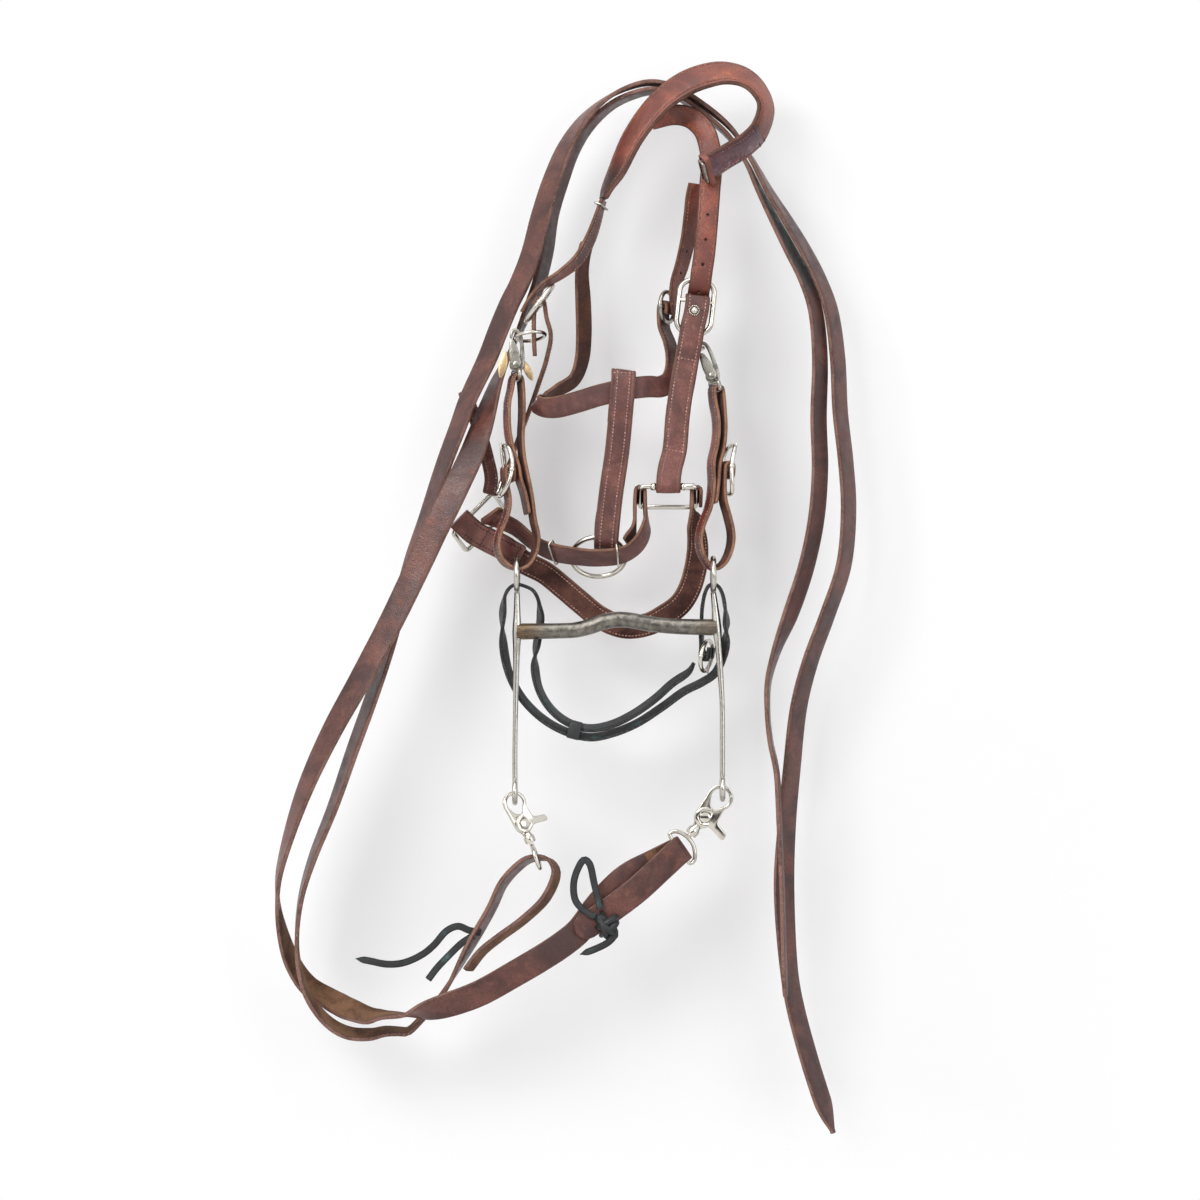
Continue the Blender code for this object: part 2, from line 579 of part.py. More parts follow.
def prong(name, bar, rest, out_way, bar_way, finish):
    """A buckle's tongue: its eye round the bar and its tip over the frame's end."""
    out = Vector(out_way).normalized()
    side = Vector(bar_way).normalized()
    begin = Vector(bar)
    end = Vector(rest)
    long_way = (end - begin).normalized()
    out = (out - side * out.dot(side)).normalized()
    eye = BAR_RADIUS + FIT_GAP + TONGUE_RADIUS
    item = wire(name, oval(begin, side.cross(out) * eye, out * eye, 14), TONGUE_RADIUS, finish, sides=6,
                closed=True, normal=side)
    over = BUCKLE_WIRE + FIT_GAP + TONGUE_RADIUS
    route = (begin + out * eye - long_way * 1.0, begin + out * (eye + 0.6) + long_way * 4,
             end + out * over + long_way * 1.8)
    return combine(item, wire("prong", route, TONGUE_RADIUS, finish, sides=6, normal=side), "UNION")


def hangers(leather, nickel):
    """The two strap loops that carry the bit, each with a snap above it and a buckle on its side."""
    yaw = Vector((-0.3, 0.95, 0)).normalized()
    bend = BAR_RADIUS + FIT_GAP + HANGER_THICK / 2 + 0.1
    low = hanger_snap("left", LEFT_GATE_RIVET, (0.04, 0, 1), yaw, nickel)
    bar = Vector(LEFT_HANGER_BAR)
    points = [(-116.5, -19, -285.5), (-119.5, -18, -271), (-122.8, -17, -260.5), (-124.2, -16, -252),
              (-128.6, -15, -238), (-131, -13.5, -224.5), (-131, -12.3, -205), (-129.2, -11.5, -197)]
    points += fold(low, (0, 0, 1), bend, (-0.97, -0.25, 0))
    points += [(-121, -11.5, -199), (-120.8, -13, -215), (-121.5, -14, -232), (-120.3, -15.5, -246),
               (-117.6, -17, -259), (-115, -18, -272), (-112.5, -19.5, -290), (-110, -20, -302.5),
               (-112, -20, -314), (-117.5, -20, -322), (-124, -20, -324.5), (-130.5, -20, -322.6),
               (-136, -20, -317), (-138.5, -20, -308), (-136.5, -19.5, -298), (-132.3, -18.5, -288),
               (-130.4, -18, -277), (-132, -17, -266.5), (-133.2, -16.3, -260)]
    points += fold(bar, (0.05, 0, 1), bend, (-0.95, -0.3, 0))
    points += [(-127.6, -15.5, -258.5), (-128, -16, -262.5)]
    item = strap("hanger_strap_left", lying(points, yaw), HANGER_WIDTH, HANGER_THICK, leather, step=5)
    tongue_slot(item, bar, (0, 0, 1), yaw, leather)
    bowed_buckle("hanger_buckle_left", (-133, -15, -236.5), (-137.4, -17, -273), bar, yaw, 10.2, nickel)
    prong("hanger_tongue_left", bar, (-133, -15, -236.5), (-1, -0.3, 0), yaw, nickel)

    low = hanger_snap("right", RIGHT_GATE_RIVET, (-0.25, 0, 0.968), yaw, nickel)
    bar = Vector(RIGHT_HANGER_BAR)
    points = [(16.3, -18, -278), (18.2, -16, -262), (19.2, -14.5, -250), (22, -12, -239), (23.4, -10, -226),
              (23.2, -7.5, -215), (22.6, -5.5, -205)]
    points += fold(low, (-0.2, 0, 1), bend, (0.97, 0.25, 0))
    points += [(16.4, -5.5, -205), (18.3, -8, -216), (18.6, -10.5, -227), (17.3, -12, -237),
               (14.9, -14.5, -248), (15, -16.5, -265), (12.6, -18, -281), (7.5, -19.5, -294), (5.6, -20, -306),
               (9, -20, -317.5), (16, -20, -324.7), (22.6, -20, -321), (27.5, -20, -311), (28.7, -20, -300),
               (26.2, -19, -287.5), (23, -17.5, -275), (22.6, -16, -264), (22.8, -15, -257)]
    points += fold(bar, (0.05, 0, 1), bend, (-0.95, -0.3, 0))
    points += [(28.8, -14, -256), (28.2, -14.5, -260)]
    item = strap("hanger_strap_right", lying(points, yaw), HANGER_WIDTH, HANGER_THICK, leather, step=5)
    tongue_slot(item, bar, (0, 0, 1), yaw, leather)
    bowed_buckle("hanger_buckle_right", (30, -13.5, -236.5), (27.6, -16.5, -271.5), bar, yaw, 10.2, nickel)
    prong("hanger_tongue_right", bar, (30, -13.5, -236.5), (1, 0.3, 0), yaw, nickel)


def halter_rings(nickel):
    """The two rings of the halter that the hanger snaps hook into."""
    ring = oval((-114.6, -11.3, -158.2), (10.4, 0, 1.2), (0, 10.8, -2.2), 24)
    wire("halter_ring_left", ring, HALTER_RING_WIRE, nickel, closed=True, normal=(0.1, 0.2, 1))
    ring = oval((1.5, -2, -166.1), (8, 0, 0), (0, 8, -0.8), 24)
    wire("halter_ring_right", ring, HALTER_RING_WIRE, nickel, closed=True, normal=(0, 0.1, 1))


def bit(iron, nickel):
    """The mouthpiece with its low port, and the two shanks with a ring at each end."""
    eye_low = SWING_HEIGHT - SHANK_EYE_RADIUS
    mouth = [(-124, BIT_DEPTH, -369.5), (-93.5, BIT_DEPTH, -369), (-83, BIT_DEPTH, -368.5), (-72, BIT_DEPTH, -366),
             (-62, BIT_DEPTH, -362.5), (-52.5, BIT_DEPTH, -361), (-43, BIT_DEPTH, -361.5),
             (-32.5, BIT_DEPTH, -363.5), (-21.5, BIT_DEPTH, -365), (-7, BIT_DEPTH, -366), (18, BIT_DEPTH, -366.5)]
    for side, x, levels in (("left", LEFT_SHANK_X, ((-124, eye_low), (-124, -357), (-124, -369.5), (-124.3, -382),
                                                  (-125, -420), (-125.5, -455), (-125.5, -484 + REIN_EYE_RADIUS))),
                            ("right", RIGHT_SHANK_X, ((16, eye_low), (17.5, -354), (18.5, -366.5), (19.6, -379),
                                                   (22.3, -420), (22.5, -450), (22.5, -481.5 + REIN_EYE_RADIUS)))):
        sizes = (SHANK_WIRE, 2.6, 3.4, 2.6, SHANK_WIRE, SHANK_WIRE, SHANK_WIRE)
        places = [(px, BIT_DEPTH, pz) for px, pz in levels]
        item = wire("shank_" + side, places, SHANK_WIRE, nickel, sides=10, radii=sizes)
        eye = oval((x, BIT_DEPTH, SWING_HEIGHT), (0, SHANK_EYE_RADIUS, 0), (0, 0, SHANK_EYE_RADIUS), 24)
        combine(item, wire("eye", eye, SHANK_WIRE, nickel, closed=True, normal=(1, 0, 0)), "UNION")
        last = places[-1]
        ring = oval((last[0], BIT_DEPTH, last[2] - REIN_EYE_RADIUS), (0, REIN_EYE_RADIUS, 0),
                    (0, 0, REIN_EYE_RADIUS), 20)
        combine(item, wire("ring", ring, SHANK_WIRE, nickel, closed=True, normal=(1, 0, 0)), "UNION")
    bar = wire("mouthpiece", mouth, MOUTHPIECE_RADIUS, iron, sides=14, step=6)
    for x, z in ((-124, -369.5), (18.5, -366.5)):
        socket = rod("bore", (x, BIT_DEPTH, z - 14), (x, BIT_DEPTH, z + 14), 3.4 + FIT_GAP, iron, sides=16)
        combine(bar, socket, "DIFFERENCE")


def curb(leather, nickel):
    """The curb strap through both upper rings of the bit, with its keeper and buckle."""
    low = SWING_HEIGHT - 6.8
    deep = (0, 1, 0)
    turned = Vector((0.45, 0.89, 0)).normalized()
    bar = Vector(CURB_BAR)
    bend = BAR_RADIUS + FIT_GAP + CURB_THICK / 2
    rows = lying([(14.9, -11, -381), (14.6, -11, -384)], turned)
    rows += lying(fold(bar, (0, 0, -1), bend, (0.89, -0.45, 0)), turned)
    rows += lying([(8.2, -8.6, -380), (8, -8, -370)], (0.2, 0.98, 0))
    rows += lying([(8, -9, -360), (8.6, -13, -351), (10.3, -18, -342), (13, BIT_DEPTH, low - 0.8),
                   (16, BIT_DEPTH, low), (19, BIT_DEPTH, low - 0.8), (22.3, BIT_DEPTH, -342),
                   (24.3, BIT_DEPTH, -352), (25.4, -19, -364), (25.2, -17, -375), (23, -12.5, -388),
                   (17.5, -11.8, -399.5), (8, -12.5, -406), (-5, -13.5, -412.5), (-21, -13.5, -424),
                   (-39, -13.5, -435.5), (-56, -13.5, -442.3), (-70.5, -13.5, -445.2), (-83, -13.5, -443.2),
                   (-97, -13.5, -437.5), (-110, -12.2, -428.5), (-121, -11.7, -416.5), (-129.5, -12.6, -400.5),
                   (-134, -16, -378), (-134.2, -19.5, -356), (-132, BIT_DEPTH, -342.5),
                   (-128.2, BIT_DEPTH, low - 1.6), (-124, BIT_DEPTH, low), (-119, BIT_DEPTH, low - 1.2),
                   (-113, -18.5, -340), (-108.6, -14, -348), (-107.4, -9, -358), (-108.6, -7, -370),
                   (-110.5, -7.5, -381), (-111.5, -9.5, -394), (-109, -12, -409), (-103, -13, -421),
                   (-94, -13.5, -430.5), (-82.5, -13.5, -436.8), (-70.5, -13.5, -438.8), (-56, -13.5, -435.8),
                   (-41, -13, -428.5), (-26, -13, -418), (-13, -12.5, -406.5), (-1, -12, -398), (2.5, -11, -392)],
                  deep)
    item = strap("curb_strap", rows, CURB_WIDTH, CURB_THICK, leather, step=5)
    tongue_slot(item, bar, (0, 0, 1), turned, leather)
    band("curb_keeper", (-83, -13.5, -440), (0.97, 0, -0.25), (0, 1, 0), CURB_WIDTH / 2 + KEEPER_THICK / 2 + 0.4, 5.8,
         KEEPER_WIDTH, KEEPER_THICK, leather)
    buckle("curb_buckle", bar, (0.15, 0, 1), turned, 11, 9.3, nickel)
    prong("curb_tongue", bar, bar - Vector((1.65, 0, 10.9)), (0.89, -0.45, 0), turned, nickel)


def reins(leather):
    """The two reins, one over the other; they end where the bands that swing with the bit begin."""
    first = [(103.5, 4, -731.5, 125), (98, 4, -715.5, 128), (87, 8, -681, 130), (77, 12.5, -643.5, 130),
             (72.5, 14, -618, 130), (68.5, 13, -554.5, 140), (70.5, 13, -510, 132), (74, 12, -469.5, 130),
             (79, 9, -423.5, 128), (87, 6, -391.5, 126), (99.5, 4, -357, 124), (111, 4, -322, 124),
             (114.5, 4, -282, 124), (112.5, 4, -247.5, 124), (108.5, 4, -211.5, 124), (106.5, 4, -171.5, 124),
             (101.5, 4, -137, 122), (93.5, 4, -115, 120), (84, 4, -96, 118), (72, 5, -75.5, 115),
             (57.5, 6, -52, 108), (44.5, 8, -28, 100), (30, 10, -6, 94), (7.5, 12, 12.8, 90), (-13, 12, 24.5, 90),
             (-28, 12, 27.5, 92), (-42.5, 11, 24.5, 94), (-60.5, 7, 15, 100), (-77, 3.8, -0.5, 112),
             (-89.5, 2.6, -20, 124), (-99.5, 2, -44.5, 132), (-107.5, 1, -70.5, 136), (-114.5, 0, -98, 138),
             (-123, -2, -120, 138), (-129.5, -3, -133, 138), (-138, -4.5, -153.5, 138), (-145.5, -6, -173, 136),
             (-160, -9, -204.5, 130), (-166.5, -11, -223, 128), (-173, -12, -240, 126), (-179.5, -13, -258.5, 124),
             (-189.5, -14, -289.5, 122), (-199.5, -14, -318, 120), (-215.5, -14, -378, 118),
             (-228, -14, -416, 118), (-242, -14, -455, 116), (-255.5, -14, -494, 112), (-270.5, -15, -532, 106),
             (-278, -17, -558, 100), (-281, -19, -584, 96), (-280, -21, -606, 92), (-273, -20.5, -629.5, 86),
             (-259, -19, -648, 80), (-245, -15, -656.5, 76), (-229, -12, -658, 76), (-219, -11, -656, 80),
             (REIN_PART_X - PART_GAP / 2, -11, -656, 84)]
    strap("rein_a", faced(first), REIN_WIDTH, REIN_THICK, leather, step=11, ends=(0.2, 1))
    second = [(68.5, -6, -632, 98), (67.5, -6, -609, 98), (66, -6, -554.5, 97), (64, -6, -505.5, 98),
              (62, -6, -470, 98), (57.5, -6, -448, 97), (55.5, -6, -427, 97), (56, -6, -406, 100),
              (62, -6, -383, 108), (72, -7, -357, 124), (83.5, -8, -322, 126), (90.5, -8, -287.5, 126),
              (93, -8, -252, 126), (92, -8, -217.5, 126), (93, -7, -171.5, 124), (89.5, -6, -137, 122),
              (82, -4, -115, 120), (72.5, -2, -96, 118), (62, 0, -75.5, 112), (50.5, 4, -52, 104),
              (41, 8, -31, 98), (27.5, 10, -11, 93), (6, 12, 7.5, 90), (-13, 12, 19.5, 90), (-27.5, 12, 21.5, 88),
              (-41, 12, 18.5, 86), (-56, 13.8, 11.5, 84), (-72, 14.8, -3, 78), (-83.5, 14.8, -20, 70),
              (-92, 13.5, -42, 66), (-99.5, 13, -67.5, 66), (-103.5, 12.5, -95, 66), (-109.5, 12, -119, 68),
              (-115, 11, -133, 74), (-122.5, 9.5, -151, 84), (-131, 6, -170, 96), (-139, 0, -188.5, 112), (-145.5, -6, -209, 130),
              (-151, -14, -227.5, 145), (-157, -22, -245, 155), (-167, -29, -267, 162), (-174, -31, -281.5, 166),
              (-181.5, -31, -296.5, 166), (-194.5, -30, -324, 162), (-214.5, -29, -365, 154),
              (-235.5, -28, -404, 146), (-256.5, -27, -442, 138), (-274.5, -26, -481, 126),
              (-287.5, -25, -519, 112), (-294, -22, -545, 102), (-295, -17, -566.5, 92), (-291.5, -8, -590.5, 76),
              (-285, 0, -610.5, 64), (-275, 3, -625, 54), (-260.5, 0.5, -633.5, 52), (-250, -8, -638, 54),
              (-240, -17.5, -641, 58), (-228, -25, -643.4, 68), (-219, -28, -642, 84),
              (REIN_PART_X - PART_GAP / 2, -28, -642, 90)]
    strap("rein_b", faced(second), REIN_WIDTH, REIN_THICK, leather, step=11, ends=(0.4, 1))


def rein_ends(leather, dark):
    """The bands from the reins to the snaps: each goes round its snap's bar and is tied back with a lace."""
    bend = BAR_RADIUS + FIT_GAP + REIN_THICK / 2
    across = (0.57, 0, -0.82)
    rows = faced([(REIN_PART_X + PART_GAP / 2, -28, -642, 90), (-202.5, -28, -642, 98), (-187, -30, -638.5, 140),
                  (-173, -31, -634.5, 160), (-151, -31, -626.5, 170), (-124.5, -30, -612, 176),
                  (-104.5, -27, -600.5, 180), (-92, -24.5, -592.5, 180), (-80, -21.5, -583, 180),
                  (-62, -18.5, -567, 180), (-42, -17, -549.5, 180), (-24, -16.7, -537, 180)])
    rows += lying(fold((-8, BIT_DEPTH, -525.5), (0.82, 0, 0.57), bend, (0, 1, 0)), across)
    rows += lying([(-24, -23.3, -537), (-41, -23.5, -551.5), (-60, -24.2, -566.5), (-76, -25.4, -578),
                   (-80, -25.6, -581)], across)
    strap("rein_end_right", rows, REIN_WIDTH, REIN_THICK, leather, step=7, ends=(1, 0.5))
    rows = faced([(REIN_PART_X + PART_GAP / 2, -11, -656, 84), (-202.5, -11, -656, 84), (-194.5, -10, -649, 84),
                  (-182, -10.5, -635, 88), (-173, -15, -622, 90), (-157, -18, -593, 90), (-142, -20, -566.5, 90),
                  (-134, -20, -549.5, 90), (-124, -20, -538, 90)])
    rows += lying([(-116.5, -20, -532.5), (-108.5, -20, -530.8), (-100.5, -20, -533), (-96.2, -20, -541), (-103, -20, -559),
                   (-119, -20, -575), (-136, -20, -587.5)], (0, 1, 0))
    strap("rein_end_left", rows, REIN_WIDTH, REIN_THICK, leather, step=7)
    left = [(-155.4, -24.5, -582.4), (-158, -26, -582), (-165.5, -27, -579), (-173.5, -27, -582), (-183, -27, -592.5),
            (-191, -27, -599), (-204.5, -27, -605), (-216, -27, -606), (-229.5, -27, -603.5), (-238.5, -27, -602)]
    strap("lace_left", faced([(*point, 0) for point in left]), LACE_WIDTH, LACE_THICK, dark, step=6, ends=(1, 0.3))
    tail = [(-163, -26, -591), (-173.5, -27, -601), (-181, -27, -609), (-187, -27, -617)]
    strap("lace_left_tail", faced([(*point, 0) for point in tail]), LACE_WIDTH, LACE_THICK, dark, step=6)
    knot = wire("lace_knot_right", [(-61 + x, -30.2, -574 + z) for x, z in
                                    ((-3, -7), (-1.8, -5.5), (0, -1), (0.8, 3), (2.2, 6.5), (3, 7.6))], 4, dark,
                sides=12, normal=(0, 1, 0), radii=(1.5, 3.6, 4.2, 4.2, 3.2, 1.4))
    loop = [(-64.5, -28.6, -566.5), (-69, -28.4, -548), (-72.5, -28.2, -534), (-76, -28.2, -531.5),
            (-80.5, -28.2, -538), (-83.5, -28.4, -548.5), (-82, -28.8, -561), (-74, -29.2, -569), (-68, -29.6, -572)]
    strap("lace_right", faced([(*point, 0) for point in loop]), LACE_WIDTH, LACE_THICK, dark, step=5)
    tail = [(-57, -33, -579), (-54, -33, -583), (-58, -33, -589), (-68, -32.6, -594.5), (-79, -32, -598.5)]
    strap("lace_right_tail", faced([(*point, 0) for point in tail]), LACE_WIDTH, LACE_THICK, dark, step=5)
    return knot


def snap_frame(pivot, up, turn):
    """A frame at a snap's pivot: first direction to the right, second up the snap, third backward."""
    up = Vector(up).normalized()
    right = Vector((up.z, 0, -up.x))
    back = Vector((0, 1, 0))
    spin = Matrix.Rotation(math.radians(turn), 3, up)
    right = spin @ right
    back = spin @ back
    return Matrix((
        (right.x, up.x, back.x, pivot[0]),
        (right.y, up.y, back.y, pivot[1]),
        (right.z, up.z, back.z, pivot[2]),
        (0, 0, 0, 1)))


def rein_snap(side, frame, size, dee, nickel):
    """A swivel snap: the body with its fixed jaw, the moving jaw on the rivet, and the dee on its stem."""
    def at(v, u, n=0.0):
        return frame @ Vector((v, u, n))

    def scaled(points):
        return [(v * size, u * size) for v, u in points]

    ring = (-0.6, 17.8)
    half = 1.3
    outline = [(6, -5), (3.4, -7.6), (3.2, -10.5), (-3.2, -10.5), (-3.4, -7.6), (-6, -5), (-7.4, -1.5), (-8.4, 7)]
    outline += arc(ring, 9.4, 200, 40, 10)
    outline += arc(ring, 6.5, 40, 222, 10) + [(-2.6, 9.2), (2, 8), (5.5, 5.6), (7.2, 2), (7, -2.6)]
    body = plate("rein_snap_" + side, scaled(outline), frame, 0.15, 0.15 + 2 * half, nickel)
    collar = wire("collar", (at(0, -8.6 * size, 0.6), at(0, -10 * size), at(0, -11.5 * size), at(0, -16 * size)), 4,
                  nickel, sides=14, normal=(frame @ Vector((0, 0, 1)) - frame.translation),
                  radii=(3.0 * size, 3.4 * size, 4.4 * size, 4.4 * size))
    combine(body, collar, "UNION")
    bore = rod("bore", at(0, -12 * size), at(0, -20 * size), 1.7 * size + FIT_GAP, nickel)
    combine(body, bore, "DIFFERENCE")
    combine(body, rod("rivet", at(0, 0, 1), at(0, 0, -3.6), 3 * size, nickel, sides=16), "UNION")
    combine(body, rod("head", at(0, 0, -3.2), at(0, 0, -4), 3.9 * size, nickel, sides=16), "UNION")
    outline = arc((0, 0), 7.4, 175, 330, 8) + [(10, -3.6), (14, -4.2), (19.4, -5), (20.6, -3.4), (19.8, 0.6),
                                              (15, 1.2), (9, 2.6)]
    outline += [(8.2, 7)] + arc(ring, 9.2, -35, 52, 6) + arc(ring, 6.7, 52, -42, 6)
    outline += [(2, 8.2), (-2.5, 7.4), (-6, 4.5)]
    jaw = plate("rein_jaw_" + side, scaled(outline), frame, -0.15 - 2 * half, -0.15, nickel)
    hole = rod("hole", at(0, 0, -9), at(0, 0, 9), 3 * size + FIT_GAP, nickel, sides=16)
    combine(jaw, hole, "DIFFERENCE")
    swivel = wire("rein_swivel_" + side, dee, BAR_RADIUS, nickel, sides=10, closed=True,
                  normal=(dee[1] - dee[0]).cross(dee[-2] - dee[0]))
    stem = rod("stem", at(0, -12.4 * size), dee[0], 1.7 * size, nickel)
    combine(swivel, stem, "UNION")
    return jaw


def rein_snaps(nickel):
    frame = snap_frame(RIGHT_SNAP_RIVET, (0.645, 0, 0.764), 0)
    dee = [frame @ Vector((v, u, 0)) for v, u in ((0, -18.6), (-6, -19.2), (-10.2, -21.4), (-12, -24.4),
                                                 (-10.9, -26.3), (1.4, -29.6), (12.4, -32.6), (14.2, -31),
                                                 (14, -27), (7.4, -20.4))]
    rein_snap("right", frame, 1.0, dee, nickel)
    frame = snap_frame(LEFT_SNAP_RIVET, (-0.37, 0, 0.93), 30)
    bar = Vector((-107.5, BIT_DEPTH, -538))
    neck = frame @ Vector((0, -16.8, 0))
    reach = Vector((0, 1, 0))
    low = (bar - neck).normalized()
    dee = [neck, neck + reach * 6 + low * 1.0, neck + reach * 10.5 + low * 4, neck + reach * 12 + low * 8,
           bar + reach * 10.5, bar, bar - reach * 10.5, neck - reach * 12 + low * 8,
           neck - reach * 10.5 + low * 4, neck - reach * 6 + low * 1.0]
    rein_snap("left", frame, 0.9, dee, nickel)


def set_origin(name, place):
    """Moves an object's origin to a place on its hinge's axis; its shape stays where it is."""
    item = bpy.data.objects[name]
    spot = Vector(place) * MM
    item.data.transform(Matrix.Translation(-spot))
    item.location = spot


def set_origins():
    """Each moving piece has its origin on the axis that it turns about."""
    swing = ((LEFT_SHANK_X + RIGHT_SHANK_X) / 2, BIT_DEPTH, SWING_HEIGHT)
    for name in ("shank_left", "shank_right", "mouthpiece", "curb_strap", "curb_keeper", "curb_buckle",
                 "rein_end_right", "rein_end_left", "lace_left", "lace_left_tail", "lace_knot_right",
                 "lace_right", "lace_right_tail", "rein_swivel_right", "rein_swivel_left"):
        set_origin(name, swing)
    set_origin("hanger_gate_left", LEFT_GATE_RIVET)
    set_origin("hanger_gate_right", RIGHT_GATE_RIVET)
    set_origin("hanger_tongue_left", LEFT_HANGER_BAR)
    set_origin("hanger_tongue_right", RIGHT_HANGER_BAR)
    set_origin("curb_tongue", CURB_BAR)
    for name in ("rein_snap_right", "rein_jaw_right"):
        set_origin(name, RIGHT_SNAP_RIVET)
    for name in ("rein_snap_left", "rein_jaw_left"):
        set_origin(name, LEFT_SNAP_RIVET)


def main():
    clear_scene()
    leather = material("bridle_leather", (0.30, 0.10, 0.06), 0.5, 0.0)
    crown = material("crown_leather", (0.34, 0.09, 0.045), 0.5, 0.0)
    dark = material("black_leather", (0.02, 0.02, 0.023), 0.5, 0.0)
    rein = material("rein_leather", (0.11, 0.035, 0.03), 0.5, 0.0)
    nickel = material("nickel", (0.62, 0.61, 0.57), 0.25, 1.0)
    iron = material("bit_iron", (0.35, 0.34, 0.31), 0.5, 1.0)
    crown_and_head(leather, crown, nickel)
    left_cheek(leather, nickel)
    throat_and_jaw(leather, nickel)
    right_cheek(leather, nickel)
    squares_and_nose(leather, nickel)
    halter_rings(nickel)
    hangers(leather, nickel)
    bit(iron, nickel)
    curb(dark, nickel)
    reins(rein)
    rein_ends(rein, dark)
    rein_snaps(nickel)
    set_origins()


if __name__ == "__main__":
    main()
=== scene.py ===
"""Halter bridle: leather straps with their stitching and holes, nickel fittings, the bit and the reins.

Lengths in the route lists are millimetres, in the frame of the CAD solids: X to the right, Y away from
the viewer, Z up. Every finished piece is in metres with its object at the origin.
"""

import math
from bisect import bisect_right

import bmesh
import bpy
from mathutils import Matrix, Vector


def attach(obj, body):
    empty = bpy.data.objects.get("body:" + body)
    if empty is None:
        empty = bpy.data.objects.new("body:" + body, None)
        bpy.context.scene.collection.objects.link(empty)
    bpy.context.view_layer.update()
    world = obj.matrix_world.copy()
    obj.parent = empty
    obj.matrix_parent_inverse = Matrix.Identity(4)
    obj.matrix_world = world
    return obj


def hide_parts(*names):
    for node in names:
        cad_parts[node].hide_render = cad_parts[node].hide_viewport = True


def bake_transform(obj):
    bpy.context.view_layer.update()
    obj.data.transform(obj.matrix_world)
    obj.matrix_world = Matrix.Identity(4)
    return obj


bl_info = {
    "name": "Halter Bridle",
    "version": (1, 0, 0),
    "blender": (4, 5, 0),
    "location": "3D View > Sidebar > Bridle",
    "description": "Dresses the solids of a halter bridle in leather, thread and metal",
    "category": "Add Mesh",
}

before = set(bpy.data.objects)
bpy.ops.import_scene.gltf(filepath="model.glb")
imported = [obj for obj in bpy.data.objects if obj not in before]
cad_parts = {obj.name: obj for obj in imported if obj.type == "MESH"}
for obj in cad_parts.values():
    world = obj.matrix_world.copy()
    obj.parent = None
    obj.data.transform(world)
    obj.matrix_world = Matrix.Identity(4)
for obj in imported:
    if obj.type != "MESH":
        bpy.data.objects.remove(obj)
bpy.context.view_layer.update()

MM = 0.001
SEED = 7
FIT_GAP = 0.3
SEAM_INSET = 2.4

# Thickness of each kind of leather
CROWN_THICK = 4.6
HALTER_THICK = 2.8
BILLET_THICK = 2.4
THROAT_THICK = 2.8
CHIN_THICK = 2.5
NOSE_THICK = 2.6
HANGER_THICK = 2.4
REIN_THICK = 3.0
CURB_THICK = 2.4
LACE_THICK = 2.2
KEEPER_WIDTH = 9.0
KEEPER_THICK = 1.4

# Metal, in radii
BUCKLE_WIRE = 1.6
BAR_RADIUS = 1.5
TONGUE_RADIUS = 0.9
HALTER_RING_WIRE = 1.3
CHIN_RING_RADIUS = 19.5
CHIN_RING_WIRE = 1.9
STAPLE_WIRE = 0.7
SQUARE_WIRE = 1.8
SHANK_WIRE = 1.9
SHANK_EYE_RADIUS = 11.8
REIN_EYE_RADIUS = 7.8
SNAP_PLATE = 3.4

# The curb strap's lean below its eyes, and the across direction of the left rein's end loop
CURB_LEAN = math.radians(22)
CURB_LEAN_BELOW = -350.0
LOOP_LEAN = (0.22, 0.95, -0.20)

# Places that pieces turn about, and where the reins are parted
BIT_DEPTH = -20.0
SWING_HEIGHT = -329.0
LEFT_SHANK_X = -124.0
RIGHT_SHANK_X = 16.0
REIN_PART_X = -209.0
LEFT_GATE_RIVET = (-124.5, -11, -178.5)
RIGHT_GATE_RIVET = (16, -4, -186)
LEFT_HANGER_BAR = (-130.5, -16, -254)
RIGHT_HANGER_BAR = (26, -14.5, -251.5)
CURB_BAR = (11.5, -9.5, -387)
RIGHT_SNAP_RIVET = (10, BIT_DEPTH, -502)
LEFT_SNAP_RIVET = (-119.4, BIT_DEPTH, -506.6)

# The photograph is square, and 864 mm of the object's plane fill it
VIEW_CENTRE = Vector((-0.0648, 0.0, -0.347))
VIEW_WIDTH = 0.864
VIEW_DISTANCE = 2.2
SENSOR = 36.0
WALL_DEPTH = 0.055
FLOOR_HEIGHT = -0.85
STAGE_HALF = 3.0

# What noise textures have between roughness and distortion: Blender's own default
LACUNARITY = 2.0

# Fineness of the meshes and the least share of faces that a cut may leave
WIRE_SIDES = 16
ROD_SIDES = 24
FOLD_STEPS = 8
CUT_LEAVES = 0.6

MATERIALS = {}


def mm(length):
    return length / MM


def sizes():
    return bpy.context.scene.bridle_sizes


def width(kind):
    """A strap's width in millimetres."""
    return mm(getattr(sizes(), kind + "_width"))


def linear(code):
    """An sRGB hex value as linear red, green, blue and full alpha."""
    parts = [int(code[index:index + 2], 16) / 255 for index in (1, 3, 5)]
    return (*[part / 12.92 if part <= 0.04045 else ((part + 0.055) / 1.055) ** 2.4 for part in parts], 1.0)


# Shapes


